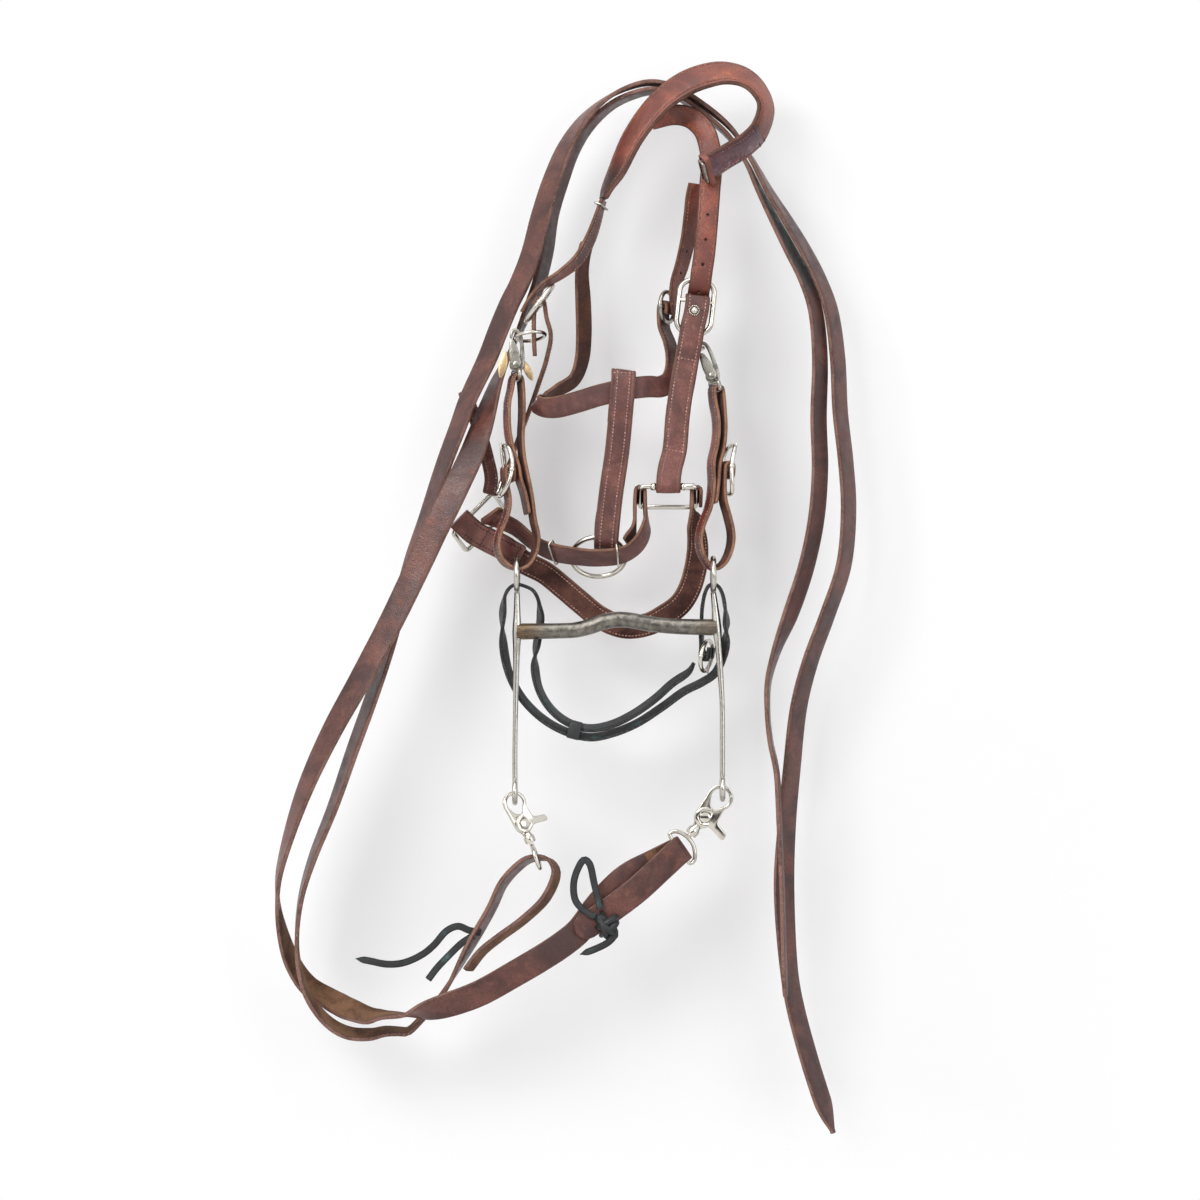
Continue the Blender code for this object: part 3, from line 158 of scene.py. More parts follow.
def sample_rows(rows, step):
    """Rows of numbers read off a smooth curve through the given rows; the first three are a place."""
    def knot(start, end):
        return max(math.dist(start[:3], end[:3]), 1e-6) ** 0.5

    def mix(first, second, start, end, at):
        share = (at - start) / (end - start)
        return [a + (b - a) * share for a, b in zip(first, second)]

    before = [2 * a - b for a, b in zip(rows[0], rows[1])]
    after = [2 * a - b for a, b in zip(rows[-1], rows[-2])]
    padded = [before, *rows, after]
    samples = [list(rows[0])]
    for index in range(1, len(padded) - 2):
        p0, p1, p2, p3 = padded[index - 1:index + 3]
        t1 = knot(p0, p1)
        t2 = t1 + knot(p1, p2)
        t3 = t2 + knot(p2, p3)
        count = max(1, math.ceil(math.dist(p1[:3], p2[:3]) / step))
        for number in range(1, count + 1):
            at = t1 + (t2 - t1) * number / count
            a1 = mix(p0, p1, 0.0, t1, at)
            a2 = mix(p1, p2, t1, t2, at)
            a3 = mix(p2, p3, t2, t3, at)
            b1 = mix(a1, a2, 0.0, t2, at)
            b2 = mix(a2, a3, t1, t3, at)
            samples.append(mix(b1, b2, t1, t2, at))
    return samples


def tangents(places, closed=False):
    found = []
    for index in range(len(places)):
        if closed:
            before = places[index - 1]
            after = places[(index + 1) % len(places)]
        else:
            before = places[max(index - 1, 0)]
            after = places[min(index + 1, len(places) - 1)]
        found.append((after - before).normalized())
    return found


def faced(route):
    """Adds the across direction to (x, y, z, turn): turn 0 shows the strap's face, turn 90 its edge."""
    places = [Vector(point[:3]) for point in route]
    rows = []
    for point, along in zip(route, tangents(places)):
        side = Vector((-along.z, 0.0, along.x)).normalized()
        turn = math.radians(point[3])
        across = side * math.cos(turn) + Vector((0.0, math.sin(turn), 0.0))
        rows.append((*point[:3], *across))
    return rows


def lying(points, across):
    """Adds one fixed across direction to every point, for a strap that folds round a bar."""
    return [(*point, *across) for point in points]


def fold(bar, towards, radius, side):
    """Half a turn round a bar, out towards one way; side is where it starts from."""
    centre = Vector(bar)
    outward = Vector(towards).normalized()
    begin = Vector(side)
    begin = (begin - outward * outward.dot(begin)).normalized()
    points = []
    for number in range(FOLD_STEPS + 1):
        angle = math.pi * number / FOLD_STEPS
        points.append(tuple(centre + radius * (begin * math.cos(angle) + outward * math.sin(angle))))
    return points


def oval(centre, first, second, count=72):
    """Points round an ellipse with the two given half axes."""
    middle = Vector(centre)
    one = Vector(first)
    two = Vector(second)
    turns = [2 * math.pi * number / count for number in range(count)]
    return [middle + one * math.cos(angle) + two * math.sin(angle) for angle in turns]


def rounded_frame(centre, first, second, corner=0.3, steps=8):
    """Points round a rectangle with the two given half sides, its corners rounded by a share."""
    middle = Vector(centre)
    one = Vector(first)
    two = Vector(second)
    radius = corner * min(one.length, two.length)
    one_unit = one.normalized()
    two_unit = two.normalized()
    points = []
    for quarter, (sign_one, sign_two) in enumerate(((1, 1), (-1, 1), (-1, -1), (1, -1))):
        pivot = middle + one * sign_one + two * sign_two
        pivot = pivot - one_unit * sign_one * radius - two_unit * sign_two * radius
        for number in range(steps + 1):
            angle = math.pi / 2 * (quarter + number / steps)
            points.append(pivot + radius * (one_unit * math.cos(angle) + two_unit * math.sin(angle)))
    return points


def arc(centre, radius, start, end, steps):
    """Points of a flat arc, angles in degrees."""
    points = []
    for number in range(steps + 1):
        angle = math.radians(start + (end - start) * number / steps)
        points.append((centre[0] + radius * math.cos(angle), centre[1] + radius * math.sin(angle)))
    return points


def link(name, data):
    """A new object in the scene."""
    item = bpy.data.objects.new(name, data)
    bpy.context.scene.collection.objects.link(item)
    return item


def finish_object(name, built, finishes):
    """Turns a bmesh in millimetres into an object in metres, faces outward."""
    bmesh.ops.recalc_face_normals(built, faces=built.faces)
    bmesh.ops.scale(built, vec=(MM, MM, MM), verts=built.verts)
    mesh = bpy.data.meshes.new(name)
    built.to_mesh(mesh)
    built.free()
    for finish in finishes:
        mesh.materials.append(MATERIALS[finish])
    return link(name, mesh)


def skin(name, rings, finish, closed=False, smooth=50):
    """Joins rings of points into one closed body."""
    built = bmesh.new()
    loops = [[built.verts.new(point) for point in ring] for ring in rings]
    pairs = list(zip(loops, loops[1:]))
    if closed:
        pairs.append((loops[-1], loops[0]))
    for first, second in pairs:
        for index in range(len(first)):
            follow = (index + 1) % len(first)
            built.faces.new((first[index], first[follow], second[follow], second[index]))
    if not closed:
        caps = [built.faces.new(loops[0]), built.faces.new(list(reversed(loops[-1])))]
        for cap in caps:
            cap.normal_update()
        bmesh.ops.triangulate(built, faces=caps, ngon_method="EAR_CLIP")
    item = finish_object(name, built, [finish])
    item.data.shade_smooth()
    item.data.set_sharp_from_angle(angle=math.radians(smooth))
    return item


def wire(name, points, radius, finish, closed=False, normal=(0, 1, 0)):
    """A round bar along points, with one radius or one for each point; normal is square to its plane."""
    if isinstance(radius, tuple):
        rows = sample_rows([(*point, size) for point, size in zip(points, radius)], 1.5)
        points = [row[:3] for row in rows]
        radii = [row[3] for row in rows]
    else:
        radii = [radius] * len(points)
    places = [Vector(point) for point in points]
    turns = [2 * math.pi * number / WIRE_SIDES for number in range(WIRE_SIDES)]
    rings = []
    for place, along, size in zip(places, tangents(places, closed), radii):
        up = Vector(normal)
        up = (up - along * up.dot(along)).normalized()
        out = along.cross(up)
        rings.append([place + size * (out * math.cos(angle) + up * math.sin(angle)) for angle in turns])
    return skin(name, rings, finish, closed=closed)


def rod(name, start, end, radius, finish):
    """A straight round rod with a small round at each end."""
    first = Vector(start)
    last = Vector(end)
    along = (last - first).normalized()
    normal = Vector((0, 1, 0)) if abs(along.y) < 0.7 else Vector((0, 0, 1))
    side = along.cross(normal).normalized()
    up = side.cross(along)
    soft = min(0.35, radius * 0.4, (last - first).length * 0.3)
    turns = [2 * math.pi * number / ROD_SIDES for number in range(ROD_SIDES)]
    rings = []
    for place, size in ((first, radius - soft), (first + along * soft * 0.3, radius - soft * 0.3),
                        (first + along * soft, radius), (last - along * soft, radius),
                        (last - along * soft * 0.3, radius - soft * 0.3), (last, radius - soft)):
        rings.append([place + size * (side * math.cos(angle) + up * math.sin(angle)) for angle in turns])
    return skin(name, rings, finish, smooth=40)


def rounded_loop(points, rounds=3):
    """A closed loop of places with its corners cut; straight runs stay where they are."""
    for _ in range(rounds):
        cut_points = []
        for index, point in enumerate(points):
            follow = points[(index + 1) % len(points)]
            cut_points += [point.lerp(follow, 0.25), point.lerp(follow, 0.75)]
        points = cut_points
    return points


def plate(name, outline, place, low, high, finish):
    """A cast plate: an outline in a frame's first two directions, with rounded rims."""
    points = rounded_loop([Vector(point) for point in outline], 2)
    turned = sum(a.x * b.y - b.x * a.y for a, b in zip(points, points[1:] + points[:1]))
    inward = 1.0 if turned > 0 else -1.0
    soft = min(0.75, (high - low) * 0.42)
    rings = []
    for angle, base, sign in ((90, low, 1), (60, low, 1), (30, low, 1), (0, low, 1),
                              (0, high, -1), (30, high, -1), (60, high, -1), (90, high, -1)):
        share = math.sin(math.radians(angle))
        inset = soft * (1 - math.cos(math.radians(angle)))
        level = base + sign * soft * (1 - share)
        ring = []
        for index, point in enumerate(points):
            way = points[(index + 1) % len(points)] - points[index - 1]
            normal = Vector((-way.y, way.x)).normalized() * inward
            spot = point + normal * inset
            ring.append(place @ Vector((spot.x, spot.y, level)))
        rings.append(ring)
    return skin(name, rings, finish, smooth=60)


def join(item, tool):
    """Adds a tool's shell to an object."""
    built = bmesh.new()
    built.from_mesh(item.data)
    built.from_mesh(tool.data)
    built.to_mesh(item.data)
    built.free()
    bpy.data.objects.remove(tool)
    return item


def cut(item, tool):
    """Cuts a tool away from an object."""
    before = len(item.data.polygons)
    change = item.modifiers.new("cut", "BOOLEAN")
    change.operation = "DIFFERENCE"
    change.object = tool
    change.solver = "EXACT"
    bake(item)
    bpy.data.objects.remove(tool)
    if len(item.data.polygons) < before * CUT_LEAVES:
        raise RuntimeError(f"{item.name}: the cut took away too much")
    return item


def bake(item):
    """Replaces an object's mesh by what its modifiers make of it."""
    graph = bpy.context.evaluated_depsgraph_get()
    mesh = bpy.data.meshes.new_from_object(item.evaluated_get(graph), depsgraph=graph)
    item.modifiers.clear()
    item.data = mesh
    return item


def block(name, centre, along, across, lengths, finish):
    """A box with its sides along two given directions, for slots."""
    one = Vector(along).normalized()
    two = Vector(across)
    two = (two - one * two.dot(one)).normalized()
    three = one.cross(two)
    half = [length / 2 for length in lengths]
    corners = ((1, 1), (-1, 1), (-1, -1), (1, -1))
    rings = []
    for end in (-1, 1):
        middle = Vector(centre) + one * half[0] * end
        rings.append([middle + two * half[1] * a + three * half[2] * b for a, b in corners])
    return skin(name, rings, finish)


def tongue_slot(item, centre, long_way, bar_way, finish):
    """A slot in the fold of leather round a buckle's bar, where the tongue's eye turns."""
    eye = 2 * (BAR_RADIUS + 2 * FIT_GAP + 2 * TONGUE_RADIUS)
    lengths = (2 * eye, 2 * TONGUE_RADIUS + 4 * FIT_GAP, 2 * eye)
    slot = block("slot", centre, long_way, bar_way, lengths, finish)
    return cut(item, slot)


def band(name, centre, along, across, half_wide, half_deep, wide, thick, finish):
    """A flat keeper loop round a strap, its rims rounded."""
    one = Vector(across).normalized()
    way = Vector(along)
    way = (way - one * way.dot(one)).normalized()
    deep = way.cross(one)
    rings = []
    points = rounded_frame(centre, one * half_wide, deep * half_deep, corner=0.35, steps=5)
    outline = [(a * wide / 2, b * thick / 2) for a, b in
               ((1, 0.3), (0.94, 0.8), (0.82, 1), (-0.82, 1), (-0.94, 0.8), (-1, 0.3),
                (-1, -0.5), (-0.9, -1), (0.9, -1), (1, -0.5))]
    for place, run in zip(points, tangents(points, closed=True)):
        out = run.cross(way)
        rings.append([place + way * a + out * b for a, b in outline])
    return skin(name, rings, finish, closed=True)


def buckle(name, centre, long_way, bar_way, half_long, half_wide, finish):
    """An oval frame with a bar across its middle, and a ball at each end of the bar."""
    long_unit = Vector(long_way).normalized()
    bar_unit = Vector(bar_way).normalized()
    item = wire(name, oval(centre, long_unit * half_long, bar_unit * half_wide), BUCKLE_WIRE, finish,
                closed=True, normal=long_unit.cross(bar_unit))
    reach = bar_unit * half_wide
    middle = Vector(centre)
    join(item, rod("bar", middle - reach, middle + reach, BAR_RADIUS, finish))
    for way in (-1, 1):
        join(item, ball(middle + reach * way, 2.1, finish))
    return item


def ball(centre, radius, finish):
    """A round ball."""
    built = bmesh.new()
    bmesh.ops.create_uvsphere(built, u_segments=20, v_segments=12, radius=radius)
    for vertex in built.verts:
        vertex.co += Vector(centre)
    item = finish_object("ball", built, [finish])
    item.data.shade_smooth()
    return item


# Straps


class Run:
    """A strap's line: places, directions and the length reached at each."""

    def __init__(self, rows, step=2.0):
        samples = sample_rows(rows, step)
        self.places = [Vector(sample[:3]) for sample in samples]
        self.alongs = tangents(self.places)
        self.acrosses = []
        for sample, along in zip(samples, self.alongs):
            across = Vector(sample[3:6])
            self.acrosses.append((across - along * across.dot(along)).normalized())
        self.lengths = [0.0]
        for first, second in zip(self.places, self.places[1:]):
            self.lengths.append(self.lengths[-1] + (second - first).length)
        self.total = self.lengths[-1]

    def at(self, length):
        """Place, along, across and outward direction at a length from the start."""
        length = min(max(length, 0.0), self.total)
        high = min(bisect_right(self.lengths, length), len(self.lengths) - 1)
        low = high - 1
        span = self.lengths[high] - self.lengths[low]
        share = (length - self.lengths[low]) / span if span else 0.0
        place = self.places[low].lerp(self.places[high], share)
        along = self.alongs[low].lerp(self.alongs[high], share).normalized()
        across = self.acrosses[low].lerp(self.acrosses[high], share)
        across = (across - along * across.dot(along)).normalized()
        return place, along, across, along.cross(across)

    def nearest(self, place):
        """The length at which the line comes closest to a place."""
        return min(range(int(self.total)), key=lambda spot: (self.at(spot)[0] - Vector(place)).length)


def section(wide, thick, dome, groove, inset):
    """A strap's section: (across, out, side) with side 0 the face, 1 an edge and 2 the back."""
    soft = min(0.36 * thick, 0.95)
    half = wide / 2
    flat = half - soft
    line = half - inset
    if groove:
        spots = (flat, line + 0.7, line, line - 0.7, line * 0.72, line * 0.4, 0)
    else:
        spots = (flat, flat * 0.8, flat * 0.45, 0)
    spots = list(spots) + [-spot for spot in reversed(spots[:-1])]
    face = []
    for spot in spots:
        height = thick / 2 + dome * (1 - (spot / half) ** 2)
        if groove and abs(abs(spot) - line) < 0.01:
            height -= groove
        face.append((spot, height, 0))
    low = thick / 2 - soft
    left = [(-half + soft * (1 - math.sin(turn)), low + soft * math.cos(turn), 1)
            for turn in (math.pi / 6, math.pi / 3, math.pi / 2)]
    edge = left + [(a, -b, 1) for a, b, _ in reversed(left)]
    back = [(spot, -thick / 2, 2) for spot in (-flat, -flat * 0.5, 0, flat * 0.5, flat)]
    other = [(-a, -b, 1) for a, b, _ in edge]
    return face + edge + back + other


def tip_share(distance, wide, shape):
    """A strap's width as a share, at a distance from its end."""
    reach = {"square": 0.0, "round": 0.5, "point": 1.3, "soft": 0.12}[shape] * wide
    if distance >= reach:
        return 1.0
    level = 1 - max(distance, 0.0) / reach
    if shape == "soft":
        return 1 - 0.14 * level * level
    if shape == "point":
        return max(0.16, 1 - level ** 1.6)
    return max(0.12, math.sqrt(max(0.0, 1 - level * level)))


def strap_body(name, run, wide, thick, skins, ends=("soft", "soft"), dome=0.0, groove=0.0,
               inset=SEAM_INSET, step=2.5, tail=None, swap=None, span=None):
    """A strap's closed shell with a face, raw edges and a back.

    After the length tail its face has a fourth finish; after the length swap face and back change places.
    A span makes only that stretch of the run.
    """
    low, high = span or (0.0, run.total)
    count = math.ceil((high - low) / step)
    stations = [low + (high - low) * number / count for number in range(count + 1)]
    for index, shape in enumerate(ends):
        if shape != "square":
            for share in (0.02, 0.06, 0.13, 0.24, 0.4, 0.62, 0.9, 1.3):
                spot = share * wide * 0.5
                stations.append(low + spot if index == 0 else high - spot)
    stations.sort()
    stations = [spot for spot, before in zip(stations, [-1.0, *stations]) if spot - before > 0.02]
    outline = section(wide, thick, dome, groove, inset)
    built = bmesh.new()
    marks = built.loops.layers.uv.new("UVMap")
    loops = []
    for spot in stations:
        place, along, across, out = run.at(spot)
        share = min(tip_share(spot - low, wide, ends[0]), tip_share(high - spot, wide, ends[1]))
        loops.append([built.verts.new(place + across * a * share + out * b) for a, b, _ in outline])
    count = len(outline)
    for row in range(len(stations) - 1):
        for index in range(count):
            follow = (index + 1) % count
            face = built.faces.new((loops[row][index], loops[row][follow],
                                    loops[row + 1][follow], loops[row + 1][index]))
            side = outline[index][2] if outline[index][2] == outline[follow][2] else 1
            turned = swap is not None and stations[row] > swap
            face.material_index = 2 - side if turned else side
            if side == 0 and tail and stations[row] > tail:
                face.material_index = 3
            for corner, (which, reached) in zip(face.loops, ((index, row), (follow, row),
                                                             (follow, row + 1), (index, row + 1))):
                level = outline[which][1] / thick + 0.5 if side == 1 else outline[which][0] / wide + 0.5
                corner[marks].uv = (stations[reached] * MM, level)
    for loop in (loops[0], list(reversed(loops[-1]))):
        cap = built.faces.new(loop)
        cap.material_index = 1
        for corner in cap.loops:
            corner[marks].uv = (0.0, 0.5)
        cap.normal_update()
        bmesh.ops.triangulate(built, faces=[cap])
    item = finish_object(name, built, skins)
    item.data.shade_smooth()
    item.data.set_sharp_from_angle(angle=math.radians(38))
    return item


def stitch_row(run, across, side, start, end, wide, thick, dome=0.0):
    """Places and outward directions of a row of stitches along a strap."""
    first = start if start >= 0 else run.total + start
    last = end if end > 0 else run.total + end
    count = max(2, math.ceil((last - first) / 1.5))
    row = []
    for number in range(count + 1):
        place, along, way, out = run.at(first + (last - first) * number / count)
        lift = thick / 2 + dome * (1 - (2 * across / wide) ** 2) if side > 0 else thick / 2
        row.append((place + way * across + out * side * lift, out * side))
    return row


def cross_row(run, at, side, wide, thick):
    """A row of stitches across a strap."""
    spot = at if at >= 0 else run.total + at
    place, along, way, out = run.at(spot)
    reach = wide / 2 - 2.4
    row = []
    for number in range(9):
        share = number / 4 - 1
        row.append((place + way * reach * share + out * side * thick / 2, out * side))
    return row


# Nodes


KINDS = {
    "places": ("ShaderNodeTexCoord", {}),
    "split": ("ShaderNodeSeparateXYZ", {}),
    "join": ("ShaderNodeCombineXYZ", {}),
    "noise": ("ShaderNodeTexNoise", {}),
    "cells": ("ShaderNodeTexVoronoi", {"feature": "F1"}),
    "ramp": ("ShaderNodeMapRange", {"interpolation_type": "SMOOTHSTEP"}),
    "mix": ("ShaderNodeMix", {"data_type": "RGBA"}),
    "plus": ("ShaderNodeMath", {"operation": "ADD"}),
    "minus": ("ShaderNodeMath", {"operation": "SUBTRACT"}),
    "times": ("ShaderNodeMath", {"operation": "MULTIPLY"}),
    "larger": ("ShaderNodeMath", {"operation": "MAXIMUM"}),
    "unsigned": ("ShaderNodeMath", {"operation": "ABSOLUTE"}),
    "bump": ("ShaderNodeBump", {}),
    "surface": ("ShaderNodeBsdfPrincipled", {}),
    "blend": ("ShaderNodeMixShader", {}),
    "rays": ("ShaderNodeLightPath", {}),
    "result": ("ShaderNodeOutputMaterial", {}),
}


def add(tree, kind, *values, **settings):
    """Adds a node with its settings and links.

    Values fill the sockets in use from the first, or one dictionary names them. Each is a constant, a hex
    colour, an output, or a node that stands for its first output in use.
    """
    kind, usual = KINDS.get(kind, (kind, {}))
    made = tree.nodes.new(kind)
    for name, value in {**usual, **settings}.items():
        setattr(made, name, value)
    if values and isinstance(values[0], dict):
        pairs = [(made.inputs[name], value) for name, value in values[0].items()]
    else:
        pairs = zip([socket for socket in made.inputs if socket.enabled], values)
    for socket, value in pairs:
        if isinstance(value, bpy.types.Node):
            value = next(output for output in value.outputs if output.enabled)
        if isinstance(value, bpy.types.NodeSocket):
            tree.links.new(value, socket)
        else:
            socket.default_value = linear(value) if str(value).startswith("#") else value
    return made


# Stitches, beads and rims: one tree repeats a small bead along rows


def row_tree():
    """A bead at even steps along each row, turned to the row and to the surface below it."""
    found = bpy.data.node_groups.get("Stitch Rows")
    if found:
        return found
    tree = bpy.data.node_groups.new("Stitch Rows", "GeometryNodeTree")
    for name, kind in (("Rows", "Geometry"), ("Spacing", "Float"), ("Bead Size", "Vector"),
                       ("Slant", "Float"), ("Uneven", "Float"), ("Sunk", "Float"), ("Finish", "Material")):
        tree.interface.new_socket(name, in_out="INPUT", socket_type="NodeSocket" + kind)
    tree.interface.new_socket("Beads", in_out="OUTPUT", socket_type="NodeSocketGeometry")
    given = tree.nodes.new("NodeGroupInput").outputs
    normal = add(tree, "GeometryNodeInputNamedAttribute", "face_normal", data_type="FLOAT_VECTOR")
    line = add(tree, "GeometryNodeMeshToCurve", given["Rows"])
    steps = add(tree, "GeometryNodeResampleCurve", {"Curve": line, "Length": given["Spacing"]}, mode="LENGTH")
    along = add(tree, "GeometryNodeInputTangent")
    turn = add(tree, "FunctionNodeAxesToRotation", along, normal, primary_axis="X", secondary_axis="Z")
    lean = add(tree, "FunctionNodeEulerToRotation", add(tree, "join", {"Z": given["Slant"]}))
    both = add(tree, "FunctionNodeRotateRotation", turn, lean, rotation_space="LOCAL")
    bead = add(tree, "GeometryNodeMeshUVSphere", {"Segments": 8, "Rings": 5, "Radius": 0.5})
    soft = add(tree, "GeometryNodeSetShadeSmooth", bead)
    least = add(tree, "minus", 1.0, given["Uneven"])
    most = add(tree, "plus", 1.0, given["Uneven"])
    # Sockets 2 and 3 are the least and the most of a random number; those named Min and Max are a vector's
    chance = add(tree, "FunctionNodeRandomValue", {2: least, 3: most, "Seed": SEED}, data_type="FLOAT")
    size = add(tree, "ShaderNodeVectorMath", given["Bead Size"], chance, operation="SCALE")
    down = add(tree, "ShaderNodeVectorMath", normal, given["Sunk"], operation="SCALE")
    low = add(tree, "GeometryNodeSetPosition", {"Geometry": steps, "Offset": down})
    copies = add(tree, "GeometryNodeInstanceOnPoints",
                 {"Points": low, "Instance": soft, "Rotation": both, "Scale": size})
    real = add(tree, "GeometryNodeRealizeInstances", copies)
    finish = add(tree, "GeometryNodeSetMaterial", {"Geometry": real, "Material": given["Finish"]})
    add(tree, "NodeGroupOutput", finish)
    return tree


def beads(name, rows, spacing, size, finish, slant=0.0, uneven=0.08, sunk=0.0):
    """One plain mesh of beads along rows of (place, outward), in millimetres."""
    mesh = bpy.data.meshes.new(name)
    places, outs, edges = [], [], []
    for row in rows:
        first = len(places)
        places += [spot * MM for spot, _ in row]
        outs += [out for _, out in row]
        edges += [(first + number, first + number + 1) for number in range(len(row) - 1)]
    mesh.from_pydata(places, edges, [])
    mesh.attributes.new("face_normal", "FLOAT_VECTOR", "POINT").data.foreach_set(
        "vector", [value for out in outs for value in out])
    item = link(name, mesh)
    change = item.modifiers.new("rows", "NODES")
    change.node_group = row_tree()
    given = {"Spacing": spacing * MM, "Bead Size": tuple(value * MM for value in size), "Slant": slant,
             "Uneven": uneven, "Sunk": -sunk * MM, "Finish": MATERIALS[finish]}
    for socket in change.node_group.interface.items_tree:
        if socket.name in given:
            change[socket.identifier] = given[socket.name]
    bake(item)
    if not item.data.polygons:
        raise RuntimeError(f"{name}: no beads were made")
    return item


# Materials


def per(size):
    """A pattern's scale from its size in millimetres."""
    return 1 / MM / size


def new_tree(name):
    """The empty node tree of a new material, which is kept under its name."""
    made = bpy.data.materials.new(name)
    made.use_nodes = True
    made.node_tree.nodes.clear()
    MATERIALS[name] = made
    return made.node_tree


def grain_leather(name, base, deep, scuff_and_sheen_colour, grain=0.45, rough=0.46, scuff_and_sheen_share=0.5, creases=0.35, blackened_band=False,
                  painted_shade_left_end=False):
    """Vegetable-tanned strap leather, dyed and oiled on its grain side.

    The eye sees pores and flecks, drawn at 1.5 mm so that they show, cloudy dye over a few centimetres,
    darker burnished edges, short creases across the strap, and paler patches: scuffs where it has rubbed,
    and, where their share is high as on the crown's lining, painted highlights.
    """
    tree = new_tree(name)
    spots = add(tree, "places")
    place = spots.outputs["Object"]
    marks = add(tree, "split", spots.outputs["UV"]).outputs
    clouds = add(tree, "noise", place, per(34), 4.0, 0.6, LACUNARITY, 0.6)
    patches = add(tree, "noise", place, per(8), 4.0, 0.62)
    pores = add(tree, "noise", place, per(1.5), 4.0, 0.7)
    colour = add(tree, "mix", add(tree, "ramp", clouds, 0.36, 0.66), deep, base)
    # Paler patches: scuffs, and painted highlights where their share is high
    scuff_and_sheen_mask = add(tree, "times", add(tree, "ramp", patches, 0.52, 0.74), add(tree, "ramp", clouds, 0.38, 0.62))
    colour = add(tree, "mix", add(tree, "times", scuff_and_sheen_mask, scuff_and_sheen_share), colour, scuff_and_sheen_colour)
    colour = add(tree, "mix", add(tree, "ramp", pores, 0.44, 0.64, 0.0, 0.6), colour, deep)
    # Burnished edges: the last seventh of the width on each side is darker
    side = add(tree, "unsigned", add(tree, "minus", marks["Y"], 0.5))
    colour = add(tree, "mix", add(tree, "ramp", side, 0.36, 0.5, 0.0, 0.4), colour, deep)
    if blackened_band:
        # Blackened and flecked with blue green, from about 40 to 130 mm below the frame's origin
        height = add(tree, "split", place).outputs["Z"]
        reach = add(tree, "times", add(tree, "ramp", height, -0.138, -0.112),
                    add(tree, "ramp", height, -0.036, -0.052))
        flecks = add(tree, "mix", add(tree, "ramp", pores, 0.5, 0.68, 0.0, 0.7), "#1d2022", "#3f6f6c")
        colour = add(tree, "mix", add(tree, "times", reach, 0.92), colour, flecks)
    if painted_shade_left_end:
        # Painted shade: where the crown twists at its left end it is darkened almost to black, over about 25
        # mm
        spot = add(tree, "split", place).outputs
        reach = add(tree, "times", add(tree, "ramp", spot["Z"], -0.022, -0.046),
                    add(tree, "ramp", spot["X"], -0.030, -0.040))
        colour = add(tree, "mix", add(tree, "times", reach, 0.9), colour, "#2a1815")
    # Creases run across the strap, one each couple of millimetres of its length
    stretch = add(tree, "join", add(tree, "times", marks["X"], per(2.6)), add(tree, "times", marks["Y"], 1.6))
    folds = add(tree, "noise", stretch, 1.0, 3.0, 0.55, LACUNARITY, 0.8)
    cells = add(tree, "cells", place, per(0.8))
    relief = add(tree, "bump", {"Distance": 0.5 * creases * MM, "Height": folds})
    relief = add(tree, "bump", {"Distance": 0.22 * MM, "Height": patches, "Normal": relief})
    relief = add(tree, "bump", {"Distance": 0.3 * grain * MM, "Height": cells, "Normal": relief})
    shine = add(tree, "ramp", patches, 0.3, 0.75, rough - 0.1, rough + 0.14)
    add(tree, "result", add(tree, "surface", {"Base Color": colour, "Roughness": shine, "IOR": 1.5,
                                              "Specular IOR Level": 0.5, "Normal": relief}))


def flesh_leather(name, base, deep, pale, rough=0.86):
    """The flesh side: undyed suede-like fibres about a millimetre long, dull, with darker handling marks."""
    tree = new_tree(name)
    spots = add(tree, "places").outputs
    side = add(tree, "split", spots["UV"]).outputs["Y"]
    fibres = add(tree, "noise", spots["Object"], per(1.1), 4.0, 0.72)
    clouds = add(tree, "noise", spots["Object"], per(22), 3.0, 0.6, LACUNARITY, 0.4)
    colour = add(tree, "mix", add(tree, "ramp", clouds, 0.34, 0.66), deep, base)
    colour = add(tree, "mix", add(tree, "ramp", fibres, 0.5, 0.78, 0.0, 0.62), colour, pale)
    colour = add(tree, "mix", add(tree, "ramp", fibres, 0.5, 0.26, 0.0, 0.55), colour, deep)
    side = add(tree, "unsigned", add(tree, "minus", side, 0.5))
    colour = add(tree, "mix", add(tree, "ramp", side, 0.38, 0.5, 0.0, 0.45), colour, deep)
    relief = add(tree, "bump", {"Distance": 0.28 * MM, "Height": fibres})
    add(tree, "result", add(tree, "surface", {"Base Color": colour, "Roughness": rough,
                                              "Specular IOR Level": 0.22, "Normal": relief}))


